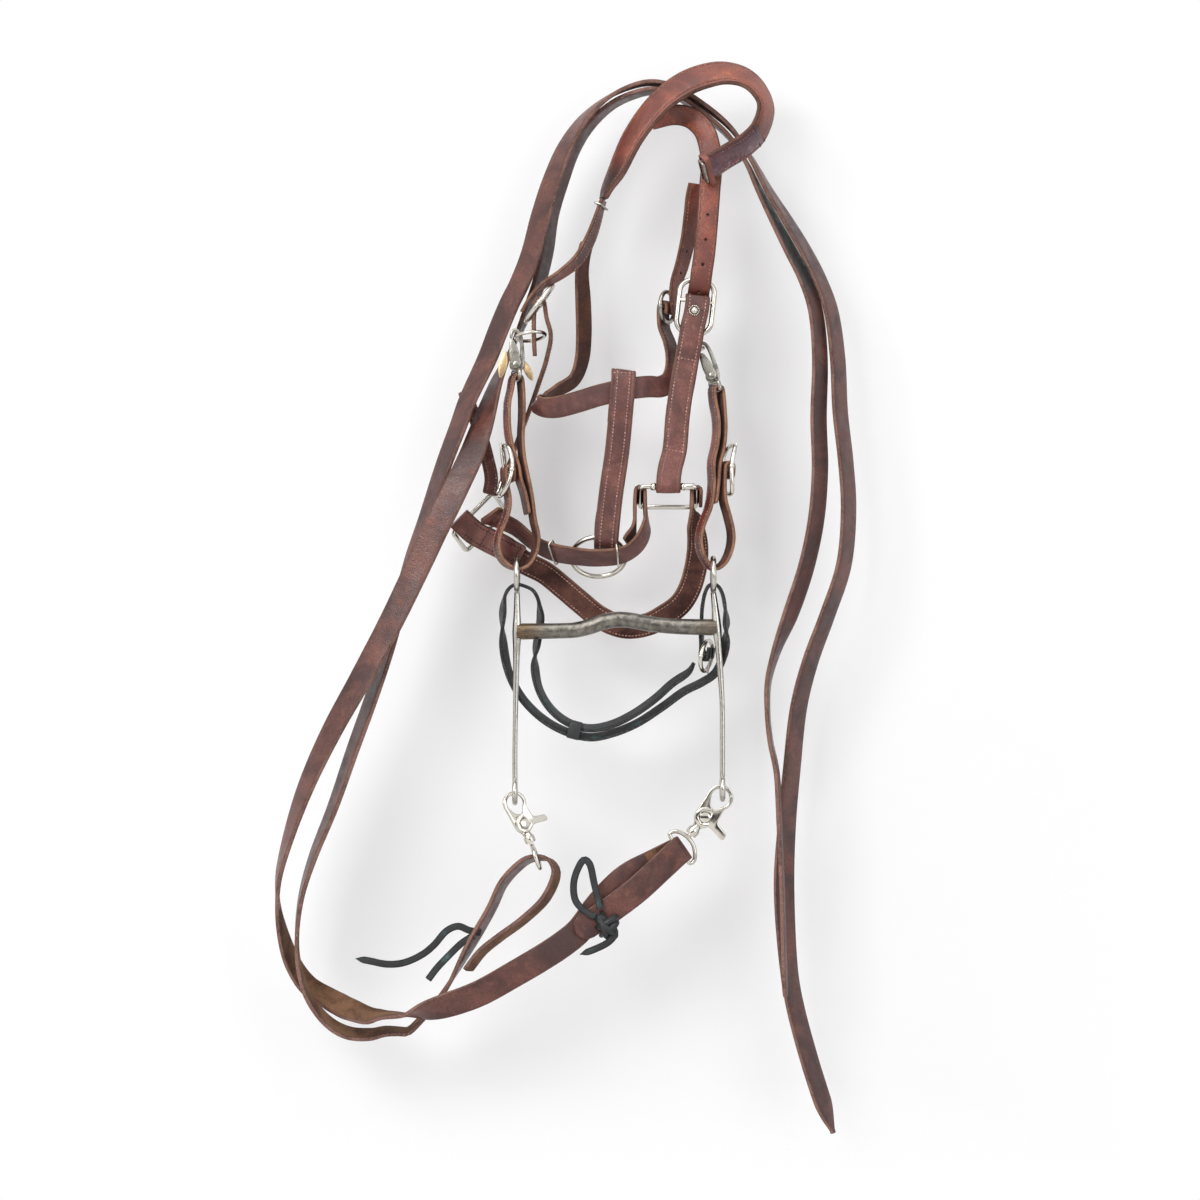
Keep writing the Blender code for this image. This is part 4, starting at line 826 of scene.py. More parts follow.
def raw_edge(name, base, deep, pale, layers=1.0):
    """A cut edge: fibres and plies run along the strap, tan with pinkish flecks and dark pressed lines."""
    tree = new_tree(name)
    spots = add(tree, "places").outputs
    marks = add(tree, "split", spots["UV"]).outputs
    stretch = add(tree, "join", add(tree, "times", marks["X"], per(4.0)),
                  add(tree, "times", marks["Y"], 5.0 * layers))
    plies = add(tree, "noise", stretch, 1.0, 4.0, 0.65, LACUNARITY, 0.3)
    fibres = add(tree, "noise", spots["Object"], per(1.0), 4.0, 0.7)
    clouds = add(tree, "noise", spots["Object"], per(18), 2.0, 0.55)
    colour = add(tree, "mix", add(tree, "ramp", clouds, 0.36, 0.64, 0.0, 0.7), base, deep)
    colour = add(tree, "mix", add(tree, "ramp", plies, 0.4, 0.7), colour, base)
    colour = add(tree, "mix", add(tree, "ramp", plies, 0.44, 0.3), colour, deep)
    colour = add(tree, "mix", add(tree, "ramp", fibres, 0.52, 0.74, 0.0, 0.75), colour, pale)
    rim = add(tree, "unsigned", add(tree, "minus", marks["Y"], 0.5))
    colour = add(tree, "mix", add(tree, "ramp", rim, 0.3, 0.5, 0.0, 0.55), colour, deep)
    relief = add(tree, "bump", {"Distance": 0.4 * MM, "Height": plies})
    relief = add(tree, "bump", {"Distance": 0.2 * MM, "Height": fibres, "Normal": relief})
    add(tree, "result", add(tree, "surface", {"Base Color": colour, "Roughness": 0.78,
                                              "Specular IOR Level": 0.3, "Normal": relief}))


def thread(name, base, deep):
    """Waxed linen thread: twisted, so it is ribbed across at a third of a millimetre, and slightly soiled."""
    tree = new_tree(name)
    place = add(tree, "places").outputs["Object"]
    soil = add(tree, "noise", place, per(2.5), 3.0, 0.65)
    twist = add(tree, "noise", place, per(0.35), 2.0, 0.5)
    colour = add(tree, "mix", add(tree, "ramp", soil, 0.36, 0.68), deep, base)
    relief = add(tree, "bump", {"Distance": 0.12 * MM, "Height": twist})
    add(tree, "result", add(tree, "surface", {"Base Color": colour, "Roughness": 0.6, "Normal": relief}))


def plated(name, base, tarnish, rough=0.16, pits=0.0, dull=0.35):
    """Nickel plate, brass wash or polished steel: mirror-bright, with fine pits and dull brown patches."""
    tree = new_tree(name)
    place = add(tree, "places").outputs["Object"]
    patches = add(tree, "noise", place, per(7), 4.0, 0.6, LACUNARITY, 0.5)
    fine = add(tree, "noise", place, per(1.4), 3.0, 0.6)
    share = add(tree, "times", add(tree, "ramp", patches, 0.48, 0.72), dull)
    relief = add(tree, "bump", {"Distance": 0.05 * MM, "Height": patches})
    relief = add(tree, "bump", {"Distance": (0.01 + 0.08 * pits) * MM, "Height": fine, "Normal": relief})
    shine = add(tree, "ramp", patches, 0.35, 0.75, rough, rough + 0.12)
    add(tree, "result", add(tree, "surface", {"Base Color": add(tree, "mix", share, base, tarnish),
                                              "Metallic": 1.0, "Roughness": shine, "Normal": relief}))


def forged_iron(name, base, deep, rust, amber):
    """Aged sweet iron: grey, mottled and streaked darker along its length, browned by rust at its left end.
    """
    tree = new_tree(name)
    place = add(tree, "places").outputs["Object"]
    along = add(tree, "split", place).outputs["X"]
    stretch = add(tree, "ShaderNodeMapping", {"Vector": place, "Scale": (per(9), per(1.1), per(1.1))})
    drawn = add(tree, "noise", stretch, 1.0, 4.0, 0.62)
    patches = add(tree, "noise", place, per(5), 4.0, 0.65, LACUNARITY, 0.5)
    colour = add(tree, "mix", add(tree, "ramp", patches, 0.36, 0.68), deep, base)
    colour = add(tree, "mix", add(tree, "ramp", drawn, 0.44, 0.3, 0.0, 0.4), colour, deep)
    # Rust starts about 40 mm from the left shank and thickens towards it, with a little at the right one
    ends = add(tree, "larger", add(tree, "ramp", along, -0.090, -0.126),
               add(tree, "ramp", along, -0.010, 0.018, 0.0, 0.6))
    uneven = add(tree, "times", add(tree, "minus", patches, 0.5), 0.9)
    rusty = add(tree, "ramp", add(tree, "plus", ends, uneven), 0.15, 0.95)
    brown = add(tree, "mix", add(tree, "ramp", drawn, 0.4, 0.64), rust, amber)
    colour = add(tree, "mix", add(tree, "times", rusty, 0.85), colour, brown)
    relief = add(tree, "bump", {"Distance": 0.1 * MM, "Height": drawn})
    relief = add(tree, "bump", {"Distance": 0.05 * MM, "Height": patches, "Normal": relief})
    shine = add(tree, "ramp", patches, 0.3, 0.75, 0.26, 0.5)
    metal = add(tree, "ramp", rusty, 0.0, 1.0, 0.96, 0.6)
    add(tree, "result", add(tree, "surface", {"Base Color": colour, "Metallic": metal, "Roughness": shine,
                                              "Normal": relief}))


def make_materials():
    def tint(name):
        """A colour that the user can change, as a node takes it."""
        return (*getattr(bpy.context.scene.bridle_colours, name), 1.0)

    # Chestnut crown and billets, pull-up leather: glossier and redder than the rest; the crown's twisted left
    # end has painted shade
    grain_leather("chestnut_grain_leather", tint("chestnut"), "#64332a", "#b8704c", 0.5, 0.4, 0.7, 0.3,
                  painted_shade_left_end=True)
    raw_edge("chestnut_raw_edge", "#6b4a3f", "#33201c", "#9c7868")
    flesh_leather("chestnut_flesh_side", "#7e4c36", "#553024", "#a06a4c", 0.8)
    # Smooth lining of the crown, rubbed shiny; its many pale patches are painted highlights
    grain_leather("lining_leather_painted_highlights", tint("lining"), "#4a2c38", "#c4a6ac", 0.3, 0.22, 0.9, 0.9)
    # Harness leather of the halter's cheeks and nose
    grain_leather("harness_grain_leather", tint("harness"), "#4a2a27", "#a97c6e", 0.5, 0.45, 0.5, 0.35)
    # A lighter, redder copy of the harness grain for the noseband's back: painted light against the shadow
    # that the rein casts on it
    grain_leather("harness_leather_painted_light", "#8f5a50", "#5d342f", "#b58478", 0.5, 0.45, 0.5, 0.3)
    raw_edge("harness_raw_edge", "#84604f", "#3d2520", "#b99684", 1.4)
    flesh_leather("harness_flesh_side", "#64433a", "#3b2523", "#86614f")
    # Throat strap: the inner side is rubbed, and its darker colour is painted shade
    flesh_leather("throat_flesh_painted_shade", "#5a3528", "#351e18", "#7d5440", 0.6)
    # Latigo reins, greasy and dark
    for name, blackened_band in (("latigo_grain_leather", False), ("blackened_latigo_leather", True)):
        grain_leather(name, tint("rein"), "#3d221f", "#96604e", 0.5, 0.4, 0.45, 0.4, blackened_band=blackened_band)
    # A darker copy of the latigo, the face of the second rein's upper part: painted shade where it lies
    # behind the first rein
    grain_leather("latigo_leather_painted_shade", "#552e2a", "#301817", "#7b4a40", 0.5, 0.42, 0.4, 0.4)
    raw_edge("latigo_raw_edge", "#85645a", "#3f2926", "#b99a8e", 1.0)
    flesh_leather("latigo_flesh_side", "#7a5a44", "#4f3628", "#9a7a5e")
    # Hangers: red harness leather with thick pale edges
    grain_leather("hanger_grain_leather", "#7e3a2c", "#431c18", "#a8674f", 0.5, 0.45, 0.4, 0.35)
    raw_edge("hanger_raw_edge", "#99705a", "#4c3027", "#cda38c", 1.6)
    # Black curb strap and laces; the dye has worn to a blue green where it bends
    grain_leather("black_grain_leather", tint("curb"), "#121316", "#4c7673", 0.6, 0.5, 0.7, 0.5)
    raw_edge("black_raw_edge", "#313233", "#141516", "#8b8d8c", 1.2)
    # Painted shade: the dark inside of a punched hole
    flesh_leather("punched_hole_painted_shade", "#2a1712", "#140b09", "#3c241c")
    thread("linen_thread", tint("stitching"), "#7d5a4e")
    thread("tan_thread", "#b0704f", "#6a3a28")
    thread("dark_thread", "#3c2420", "#1d1110")
    plated("nickel_plate", tint("nickel"), "#8d7c66", 0.1, 0.1, 0.3)
    plated("antique_nickel", "#a5a199", "#4b4238", 0.2, 0.4, 0.75)
    plated("brass_wash", "#d8bd92", "#8f6d42", 0.24, 0.3, 0.5)
    plated("pitted_steel", tint("steel"), "#6b645a", 0.18, 1.0, 0.4)
    forged_iron("sweet_iron", "#8a867f", "#625e58", "#4f3c2a", "#7b6142")


CHESTNUT = ("chestnut_grain_leather", "chestnut_raw_edge", "chestnut_flesh_side")
HARNESS = ("harness_grain_leather", "harness_raw_edge", "harness_flesh_side")
NOSE_TURNED = ("harness_flesh_side", "harness_raw_edge", "harness_leather_painted_light")
THROAT = ("throat_flesh_painted_shade", "harness_raw_edge", "harness_grain_leather")
LATIGO_TURNED = ("latigo_flesh_side", "latigo_raw_edge", "latigo_grain_leather")
BLACKENED_TURNED = ("latigo_leather_painted_shade", "latigo_raw_edge", "blackened_latigo_leather")
HANGER = ("hanger_grain_leather", "hanger_raw_edge", "harness_flesh_side")
HANGER_TURNED = ("harness_flesh_side", "hanger_raw_edge", "hanger_grain_leather")
BLACK = ("black_grain_leather", "black_raw_edge", "black_grain_leather")


# Pieces


def settle(item, body, *nodes):
    """A finished piece rides on its body in place of the CAD's solids."""
    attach(item, body)
    if nodes:
        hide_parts(*nodes)
    return item


STITCHES = {}
HOLE_RIM = "chestnut_raw_edge"


def sew(body, finish, rows):
    """Keeps rows of stitches until all the straps of a body are made."""
    STITCHES.setdefault((body, finish), []).extend(rows)


def double_rows(run, wide, thick, start, end, inset=SEAM_INSET, side=1, dome=0.0):
    """A row of stitches along each edge of a strap."""
    half = wide / 2 - inset
    return [stitch_row(run, half, side, start, end, wide, thick, dome),
            stitch_row(run, -half, side, start, end, wide, thick, dome)]


def punch(item, run, lengths, radius, finish):
    """Punched holes on a strap's middle line, most of the way through, so that they look dark."""
    for spot in lengths:
        place, _, _, out = run.at(spot)
        tool = rod("punch", place + out * 3, place - out * 0.8, radius, finish)
        cut(item, tool)
    return item


def hole_rows(run, lengths, radius, thick):
    """The pressed rims of punched holes, as closed rows."""
    rows = []
    for spot in lengths:
        place, along, across, out = run.at(spot)
        ring = []
        for number in range(13):
            angle = 2 * math.pi * number / 12
            turned = along * math.cos(angle) + across * math.sin(angle)
            ring.append((place + out * thick / 2 + radius * turned, out))
        rows.append(ring)
    return rows


def make_crown():
    crown = [(-62, -14, -60, 80), (-59, -14, -52, 72), (-53.5, -14, -42, 62), (-40.5, -14, -15, 52),
             (-22.5, -13, 8.5, 45), (-4.5, -10, 22.5, 40), (11, -8, 29, 40), (24.5, -8, 31, 44),
             (38, -10, 27.5, 50), (48, -13, 18.5, 58), (53.5, -17, 4.5, 63), (49, -20, -11.5, 62),
             (40.5, -23.5, -21.5, 60), (23, -27.5, -33, 58), (8.5, -30.5, -43, 58)]
    wide = width("crown")
    run = Run(faced(crown))
    last = run.at(run.total)
    seam = run.total - 50
    core = CROWN_THICK - 1.6
    item = strap_body("crown_padded_strap", run, wide, core, (*CHESTNUT, "lining_leather_painted_highlights"),
                      dome=1.5, groove=0.55, inset=3.2, step=2.0, tail=seam)
    settle(item, "halter", "crown_pad")
    sew("halter", "tan_thread", double_rows(run, wide, core, 6, -52, 3.2, dome=1.2))
    sew("halter", "tan_thread", double_rows(run, wide, core, seam + 3, -3, 3.2, dome=1.2))
    sew("halter", "dark_thread", [cross_row(run, seam - 1, 1, wide, CROWN_THICK + 0.6),
                                  cross_row(run, seam + 3, 1, wide, CROWN_THICK + 0.6)])
    head = [(-28, 5, -1.5, -48), (-11.5, 4, 3, -30), (0.5, 2, 0.5, -20),
            (9.5, -3, -8.5, -10), (13.5, -9, -21, 0), (15, -13, -34.5, 0), (13.5, -17, -54, 0),
            (11.5, -20, -80, 0), (9.5, -21, -101, 0), (7.5, -21, -115, 0), (7, -20, -120, 0),
            (6, -16, -125, 0), (5.5, -10.5, -130, 0), (4.5, -8, -137, 0), (2, -7.5, -149, 0)]
    wide = width("billet")
    run = Run(faced(head))
    item = strap_body("head_strap_chestnut", run, wide, BILLET_THICK, CHESTNUT, ("square", "point"),
                      dome=0.25, groove=0.2)
    holes = [run.total - back for back in (82, 64, 46, 26)]
    punch(item, run, holes, 1.1, "punched_hole_painted_shade")
    settle(item, "halter", "head_strap")
    sew("halter", "tan_thread", double_rows(run, wide, BILLET_THICK, 8, -34, dome=0.2))
    sew("halter", HOLE_RIM, hole_rows(run, holes, 1.4, BILLET_THICK + 0.3))
    reach = wide / 2 + 2 * FIT_GAP + STAPLE_WIRE
    deep = BILLET_THICK / 2 + 2 * FIT_GAP + STAPLE_WIRE
    side = Vector((0.25, 0.96, -0.09))
    along = Vector((-0.35, 0, -0.94))
    spots = rounded_frame((-63.9, -13.9, -65.2), side.normalized() * reach,
                          along.cross(side).normalized() * deep)
    item = wire("crown_staple", spots, STAPLE_WIRE, "antique_nickel", closed=True, normal=along)
    settle(item, "halter", "crown_loop_left")
    # Keeper on the crown's right end, with the edge of its metal liner showing below
    place, along, across, _ = last
    half = width("crown") / 2 + 1.0
    item = band("crown_keeper", place - along * 3.5, along, across, half, 4.0, 4.5, 1.3,
                "chestnut_grain_leather")
    settle(item, "halter")
    item = band("crown_end_clip", place - along * 0.4, along, across, half - 3, 3.2, 2.0, 0.9,
                "antique_nickel")
    settle(item, "halter")


def make_left_cheek():
    billet = [(-62.3, -14, -60.9, 80), (-64, -13.8, -65.4, 78), (-67, -13, -75.5, 72),
              (-72.5, -12.5, -90, 66), (-80.5, -12.5, -103.5, 66), (-93, -13.5, -114, 74),
              (-105.5, -15, -122, 82), (-115, -15, -131.5, 88), (-121, -15, -141, 90)]
    wide = width("billet")
    run = Run(faced(billet))
    item = strap_body("left_cheek_billet", run, wide, BILLET_THICK, HARNESS, ("square", "point"), groove=0.2)
    settle(item, "halter", "cheek_billet_left")
    sew("halter", "linen_thread", double_rows(run, wide, BILLET_THICK, 4, -14))
    centre = (-108, -15, -135)
    item = buckle("left_cheek_buckle", centre, (0.60, 0, 0.80), (0.0, 1.0, 0.0), 16, 12, "nickel_plate")
    settle(item, "halter", "crown_buckle_left")
    wide = width("side")
    bend = BAR_RADIUS + FIT_GAP + HALTER_THICK / 2 + 0.1
    down = Vector((0.2, 0, -0.98))
    points = [(-111.5, -11, -172), (-112, -11.5, -158), (-112, -14.8, -145)]
    points += fold(centre, -down, bend, (-0.98, 0, -0.2))
    points += [(-103.2, -14.8, -145), (-100.2, -11.5, -157), (-103, -4, -173), (-109.5, 6, -192),
               (-116.5, 10, -211.5), (-124.5, 10, -232), (-131, 10, -250), (-137, 10, -263.5)]
    run = Run(lying(points, (0, 1, 0)))
    item = strap_body("left_side_strap", run, wide, HALTER_THICK, HARNESS, groove=0.2)
    settle(item, "halter", "side_strap_left")
    sew("halter", "linen_thread", double_rows(run, wide, HALTER_THICK, 4, -4))
    tab = [(-163, 8, -196), (-157, 8, -211), (-151, 6, -227), (-146, 3, -245), (-143, -1.5, -260),
           (-144.5, -3.5, -271)]
    run = Run(lying(tab, (0.8, 0.6, 0.1)))
    item = strap_body("left_square_tab", run, 11, BILLET_THICK, HARNESS)
    settle(item, "halter", "square_tab_left")
    sew("halter", "linen_thread", double_rows(run, 11, BILLET_THICK, 3, -3, 2.2))


def make_throat_and_jaw():
    centre = (-16.5, -3, -136.5)
    bar_way = (0.5, 0.87, 0)
    billet = [(5.5, -10.5, -49, 30), (3.5, -8, -58, 30), (1.5, -6, -70.5, 40), (-1.5, -3.5, -88, 50),
              (-6, -2, -106.5, 55), (-10, -3.5, -119.5, 60), (-11.2, -6, -136.5, 60),
              (-10.8, -6, -147, 60)]
    run = Run(faced(billet))
    wide = width("billet")
    item = strap_body("throat_billet", run, wide, BILLET_THICK, CHESTNUT, ("square", "point"), groove=0.2)
    holes = [run.total - back for back in (52, 36, 20)]
    punch(item, run, holes, 1.1, "punched_hole_painted_shade")
    settle(item, "halter", "billet_right_rear")
    sew("halter", "tan_thread", double_rows(run, wide, BILLET_THICK, 4, -12))
    item = buckle("throat_buckle", centre, (0, 0, 1), bar_way, 11, 10.6, "antique_nickel")
    settle(item, "halter", "buckle_right_rear")
    bend = BAR_RADIUS + FIT_GAP + THROAT_THICK / 2
    out = Vector((0.87, -0.5, 0)).normalized()
    rows = faced([(-74, -2, -89, 62), (-76.5, 2, -99, 60), (-77.8, 4, -111, 58), (-77, 5, -131, 50),
                  (-76.5, 6, -156, 50), (-78, 6, -174, 55), (-83.5, 4, -188, 62), (-96.5, -2, -196.5, 68),
                  (-106.5, -10, -202, 88), (-109.5, -17, -206.5, 108), (-106, -23, -209.5, 140),
                  (-97, -26, -210, 165), (-82, -27, -206.5, 178), (-66, -25.6, -201.5, 180),
                  (-56, -25.1, -199, 180), (-46, -25, -196.8, 180), (-37, -24.3, -195.6, 180),
                  (-29, -18.5, -194.6, 180), (-21, -10, -194, 178), (-14.5, -6.5, -190, 160),
                  (-12, -4, -182, 140), (-12.8, -3, -170, 125), (-15.4, -2.4, -160, 120)])
    rows += lying([(-18.6, -1.6, -152), (-19.4, -1.4, -144)], bar_way)
    rows += lying(fold(centre, (0, 0, 1), bend, -out), bar_way)
    rows += lying([(-14.4, -4.3, -142)], bar_way)
    wide = width("throat")
    run = Run(rows)
    item = strap_body("throat_strap", run, wide, THROAT_THICK, THROAT)
    settle(item, "halter", "throatlatch")
    sew("halter", "dark_thread", double_rows(run, wide, THROAT_THICK, run.total - 60, -16, 2.2, side=-1))
    across = (0.99, 0, -0.12)
    bend = THROAT_THICK / 2 + 2 * FIT_GAP + HALTER_THICK / 2 + 0.3
    points = [(-51, -20, -222), (-49.8, -21, -208), (-48.5, -21.4, -197)]
    points += fold((-48, -25, -188), (0, 0, 1), bend, (0, 1, 0))
    points += [(-48.6, -28.7, -198), (-49.5, -28.5, -208), (-50.2, -27.4, -216), (-52.5, -24.5, -240),
               (-57, -19.8, -271.5), (-59.3, -17.8, -292)]
    points += fold((-60.4, -11.7, -305.1), (0, 0, -1), 5.7, (0, -1, 0))
    points += [(-59.8, -8.5, -292), (-58.6, -12, -284)]
    wide = width("halter")
    run = Run(lying(points, across))
    item = strap_body("jaw_strap_stitched", run, wide, HALTER_THICK, HARNESS, dome=0.2,
                      groove=0.3, inset=2.6)
    settle(item, "halter", "jaw_strap")
    sew("halter", "linen_thread", double_rows(run, wide, HALTER_THICK, 40, -30, 4.4, dome=0.1))
    sew("halter", "linen_thread", [cross_row(run, 44, 1, wide, HALTER_THICK + 0.3)])


def make_right_cheek():
    bar = (5, -16, -133.5)
    spots = rounded_frame((3.4, -16, -137.5), (0.11 * 18.8, 0, 0.99 * 18.8), (12.5 * 0.99, 0, -12.5 * 0.11),
                          corner=0.7, steps=12)
    item = wire("right_cheek_buckle", spots, BUCKLE_WIRE + 0.3, "nickel_plate", closed=True)
    reach = Vector((0.99, 0, -0.11)) * 12
    middle = Vector((4.0, -16, -133.5))
    join(item, rod("bar", middle - reach, middle + reach, BAR_RADIUS, "nickel_plate"))
    settle(item, "halter", "buckle_right_front")
    bend = BAR_RADIUS + FIT_GAP + HALTER_THICK / 2 + 0.1
    lower = SQUARE_WIRE + FIT_GAP + HALTER_THICK / 2
    points = [(-7.5, -14.4, -202), (-5.2, -14.4, -190), (-3, -14.2, -177), (-0.2, -13, -162),
              (1.6, -12.5, -151), (4, -12.5, -141)]
    points += fold(bar, (0, 0, 1), bend, (0, 1, 0))
    points += [(4, -19.5, -141), (1.6, -19.5, -151), (-0.2, -19, -162), (-3.3, -17.9, -178),
               (-6.5, -17.8, -195), (-9.5, -17.8, -217.5), (-11.5, -17.8, -240), (-14.5, -18.4, -252),
               (-15.6, -19.3, -259)]
    rows = lying(points, (0.99, 0, -0.14))
    rows += lying(fold((-16, -16, -266), (0, 0, -1), lower, (0, -1, 0)), (1, 0, 0))
    rows += lying([(-15.6, -12.7, -259), (-14.5, -13.8, -252), (-11.5, -14.4, -240), (-9.5, -14.4, -217.5),
                   (-8.2, -14.4, -206)], (0.99, 0, -0.14))
    wide = width("halter")
    run = Run(rows)
    item = strap_body("right_cheek_strap", run, wide, HALTER_THICK, HARNESS, dome=0.2,
                      groove=0.25, inset=3.0)
    settle(item, "halter", "cheek_strap_right")
    front = 62 + math.pi * bend
    sew("halter", "linen_thread", double_rows(run, wide, HALTER_THICK, front + 4, front + 116, 3.0, dome=0.1))
    sew("halter", "linen_thread", [cross_row(run, front + 50, 1, wide, HALTER_THICK + 0.3),
                                   cross_row(run, front + 116, 1, wide, HALTER_THICK + 0.3)])
    sew("halter", "dark_thread", [cross_row(run, front + 14, 1, wide, HALTER_THICK + 0.3)])
    spot = Vector((2.5, -21.4, -140.5))
    dome = [spot - Vector((0, rise, 0)) for rise in (0, 0.6, 1.2, 1.9)]
    item = wire("cheek_rivet", dome, (2.6, 2.5, 2.0, 0.8), "nickel_plate", normal=(0, 0, 1))
    settle(item, "halter", "rivet_right")
    ring = []
    for number in range(41):
        angle = 2 * math.pi * number / 40
        ring.append((spot + Vector((3.4 * math.cos(angle), -0.3, 3.4 * math.sin(angle))), Vector((0, -1, 0))))
    item = beads("rivet_bead_ring", [ring], 1.3, (1.15, 1.15, 1.0), "nickel_plate", uneven=0.0)
    settle(item, "halter")


def make_squares():
    right_side = Vector((0, 0.8, -0.6))
    top = Vector((-15.9, -16, -266))
    centre = top + right_side * 11.7
    spots = rounded_frame(centre, (20.1, 0, 0), right_side * 11.7, corner=0.22)
    item = wire("right_square_ring", spots, SQUARE_WIRE, "nickel_plate", closed=True, normal=(0, 0.6, 0.8))
    for way in (-1, 1):
        join(item, ball(top + Vector((way * 10.6, 0, 0)), 2.9, "nickel_plate"))
    join(item, rod("roller", top + Vector((11.5, 0, 0)), top + Vector((18.5, 0, 0)), 2.6, "nickel_plate"))
    settle(item, "halter", "square_right")
    long_bar = Vector((-0.71, 0, -0.71))
    left_side = Vector((0.40, 0.72, -0.56))
    centre = Vector((-156.5, 3, -284)) + left_side * 11.5
    spots = rounded_frame(centre, long_bar * 20.5 / long_bar.length, left_side.normalized() * 11.5,
                          corner=0.25)
    item = wire("left_square_ring", spots, SQUARE_WIRE, "nickel_plate", closed=True,
                normal=long_bar.cross(left_side))
    settle(item, "halter", "square_left")


def make_chin():
    near_up = (0, -0.8, 0.6)
    bend = SQUARE_WIRE + FIT_GAP + CHIN_THICK / 2
    rows = lying([(-144, -10, -285.5), (-138.5, -3.8, -288.8), (-126, -3, -295), (-115, -3.2, -304),
                  (-104.5, -6.5, -310.5), (-93, -15, -314), (-80, -22, -316), (-67.5, -25, -317),
                  (-47.5, -25, -314.5)], near_up)
    rows += lying([(-37, -23, -306.5), (-31.5, -19.5, -294)], (-0.2, -0.8, 0.57))
    rows += lying([(-32.5, -13, -281.5)], near_up)
    rows += lying(fold((-36, -6.6, -273), (0, 0.6, 0.8), bend, (1, 0, 0)), near_up)
    rows += lying([(-39.9, -12, -280.5), (-39.8, -16, -289), (-41, -19, -298), (-46, -20.5, -306)], near_up)
    wide = width("chin")
    run = Run(rows)
    item = strap_body("chin_strap_plain", run, wide, CHIN_THICK, HARNESS, dome=0.2)
    settle(item, "halter", "chin_strap")
    spots = oval((-66, -4, -316), (CHIN_RING_RADIUS, 0, 0), (0, -9.5, 14), 96)
    item = wire("chin_lead_ring", spots, CHIN_RING_WIRE, "nickel_plate", closed=True, normal=(0, 14, 9.5))
    settle(item, "halter", "chin_ring")
    reach = wide / 2 + FIT_GAP + STAPLE_WIRE
    deep = CHIN_THICK / 2 + 3 * FIT_GAP + STAPLE_WIRE
    for side, spot, along in (("left", (-97.6, -11.3, -312.9), (0.80, -0.55, -0.24)),
                              ("right", (-52.5, -25.3, -315.3), (0.99, 0.03, 0.12))):
        way = Vector(along).normalized()
        one = Vector(near_up)
        one = (one - way * one.dot(way)).normalized()
        spots = rounded_frame(spot, one * reach, way.cross(one) * deep, corner=0.5)
        item = wire("chin_staple_" + side, spots, STAPLE_WIRE, "nickel_plate", closed=True, normal=way)
        settle(item, "halter", "chin_wire_" + side)


def make_noseband():
    near_up = (0, -0.8, 0.6)
    bend = SQUARE_WIRE + FIT_GAP + NOSE_THICK / 2
    at_bar = (0.71, 0, 0.71)
    rows = lying([(-121.5, -1.6, -316.5), (-131.5, -1, -311), (-146.5, 0.2, -303.5), (-155, 0, -298.5)],
                 (0.55, -0.1, 0.8))
    rows += lying(fold((-163.6, 3, -291.1), (-0.71, 0, 0.71), bend, (0, -1, 0)), at_bar)
    rows += lying([(-155, 6.3, -299)], (0.6, -0.15, 0.78))
    rows += faced([(-144, 6.5, -304, -15), (-132.5, 6.5, -309.5, -20), (-120, 6, -319.5, -20),
                   (-104.5, 6, -327.5, -20), (-92, 6, -337.5, -20), (-79, 6, -348.5, -20),
                   (-65, 6, -359.5, -20), (-47, 6, -366.5, -20), (-30, 6, -364.5, -20),
                   (-18.5, 6, -358.5, -20), (-7, 6, -350, -20), (0, 6, -338.5, -20), (4.5, 5, -322, -22),
                   (5.5, 2, -309, -32), (4, -4, -297, -48)])
    rows += lying([(1.9, -9.8, -286)], (-0.3, -0.8, 0.52))
    rows += lying([(0.9, -9.6, -277.4)], near_up)
    rows += lying(fold((4.2, -6.6, -273), (0, 0.6, 0.8), bend, (-1, 0, 0)), near_up)
    rows += lying([(7.5, -8.8, -276)], near_up)
    wide = width("nose")
    run = Run(rows)
    item = strap_body("noseband_turned", run, wide, NOSE_THICK, NOSE_TURNED, groove=0.15, inset=2.6)
    settle(item, "halter", "noseband")
    sew("halter", "linen_thread", double_rows(run, wide, NOSE_THICK, 64, -12, 2.6))
    sew("halter", "dark_thread", double_rows(run, wide, NOSE_THICK, 3, 42, 3.4, side=-1))
    sew("halter", "dark_thread", [cross_row(run, spot, -1, wide, NOSE_THICK) for spot in (4, 30)])


def hook_outline():
    """Boss, spine and curl of the hook that takes a halter ring, in the snap's own plane."""
    return [(5, -2.5), (5.6, 2), (5.2, 9), (4.4, 16), (3.2, 21.5), (1.2, 25), (-1.6, 26.3), (-4.4, 25.2),
            (-5.8, 22.8), (-5.8, 18.6), (-3.9, 18.6), (-3.5, 22.3), (-2.2, 23.5), (-0.7, 23.3), (0.6, 21.3),
            (1.6, 16), (2.2, 9), (2.2, 5.2), (0, 5.4), (-3.2, 4.4), (-5, 1.5), (-5.2, -2), (-2.8, -4.8),
            (2.8, -4.8)]


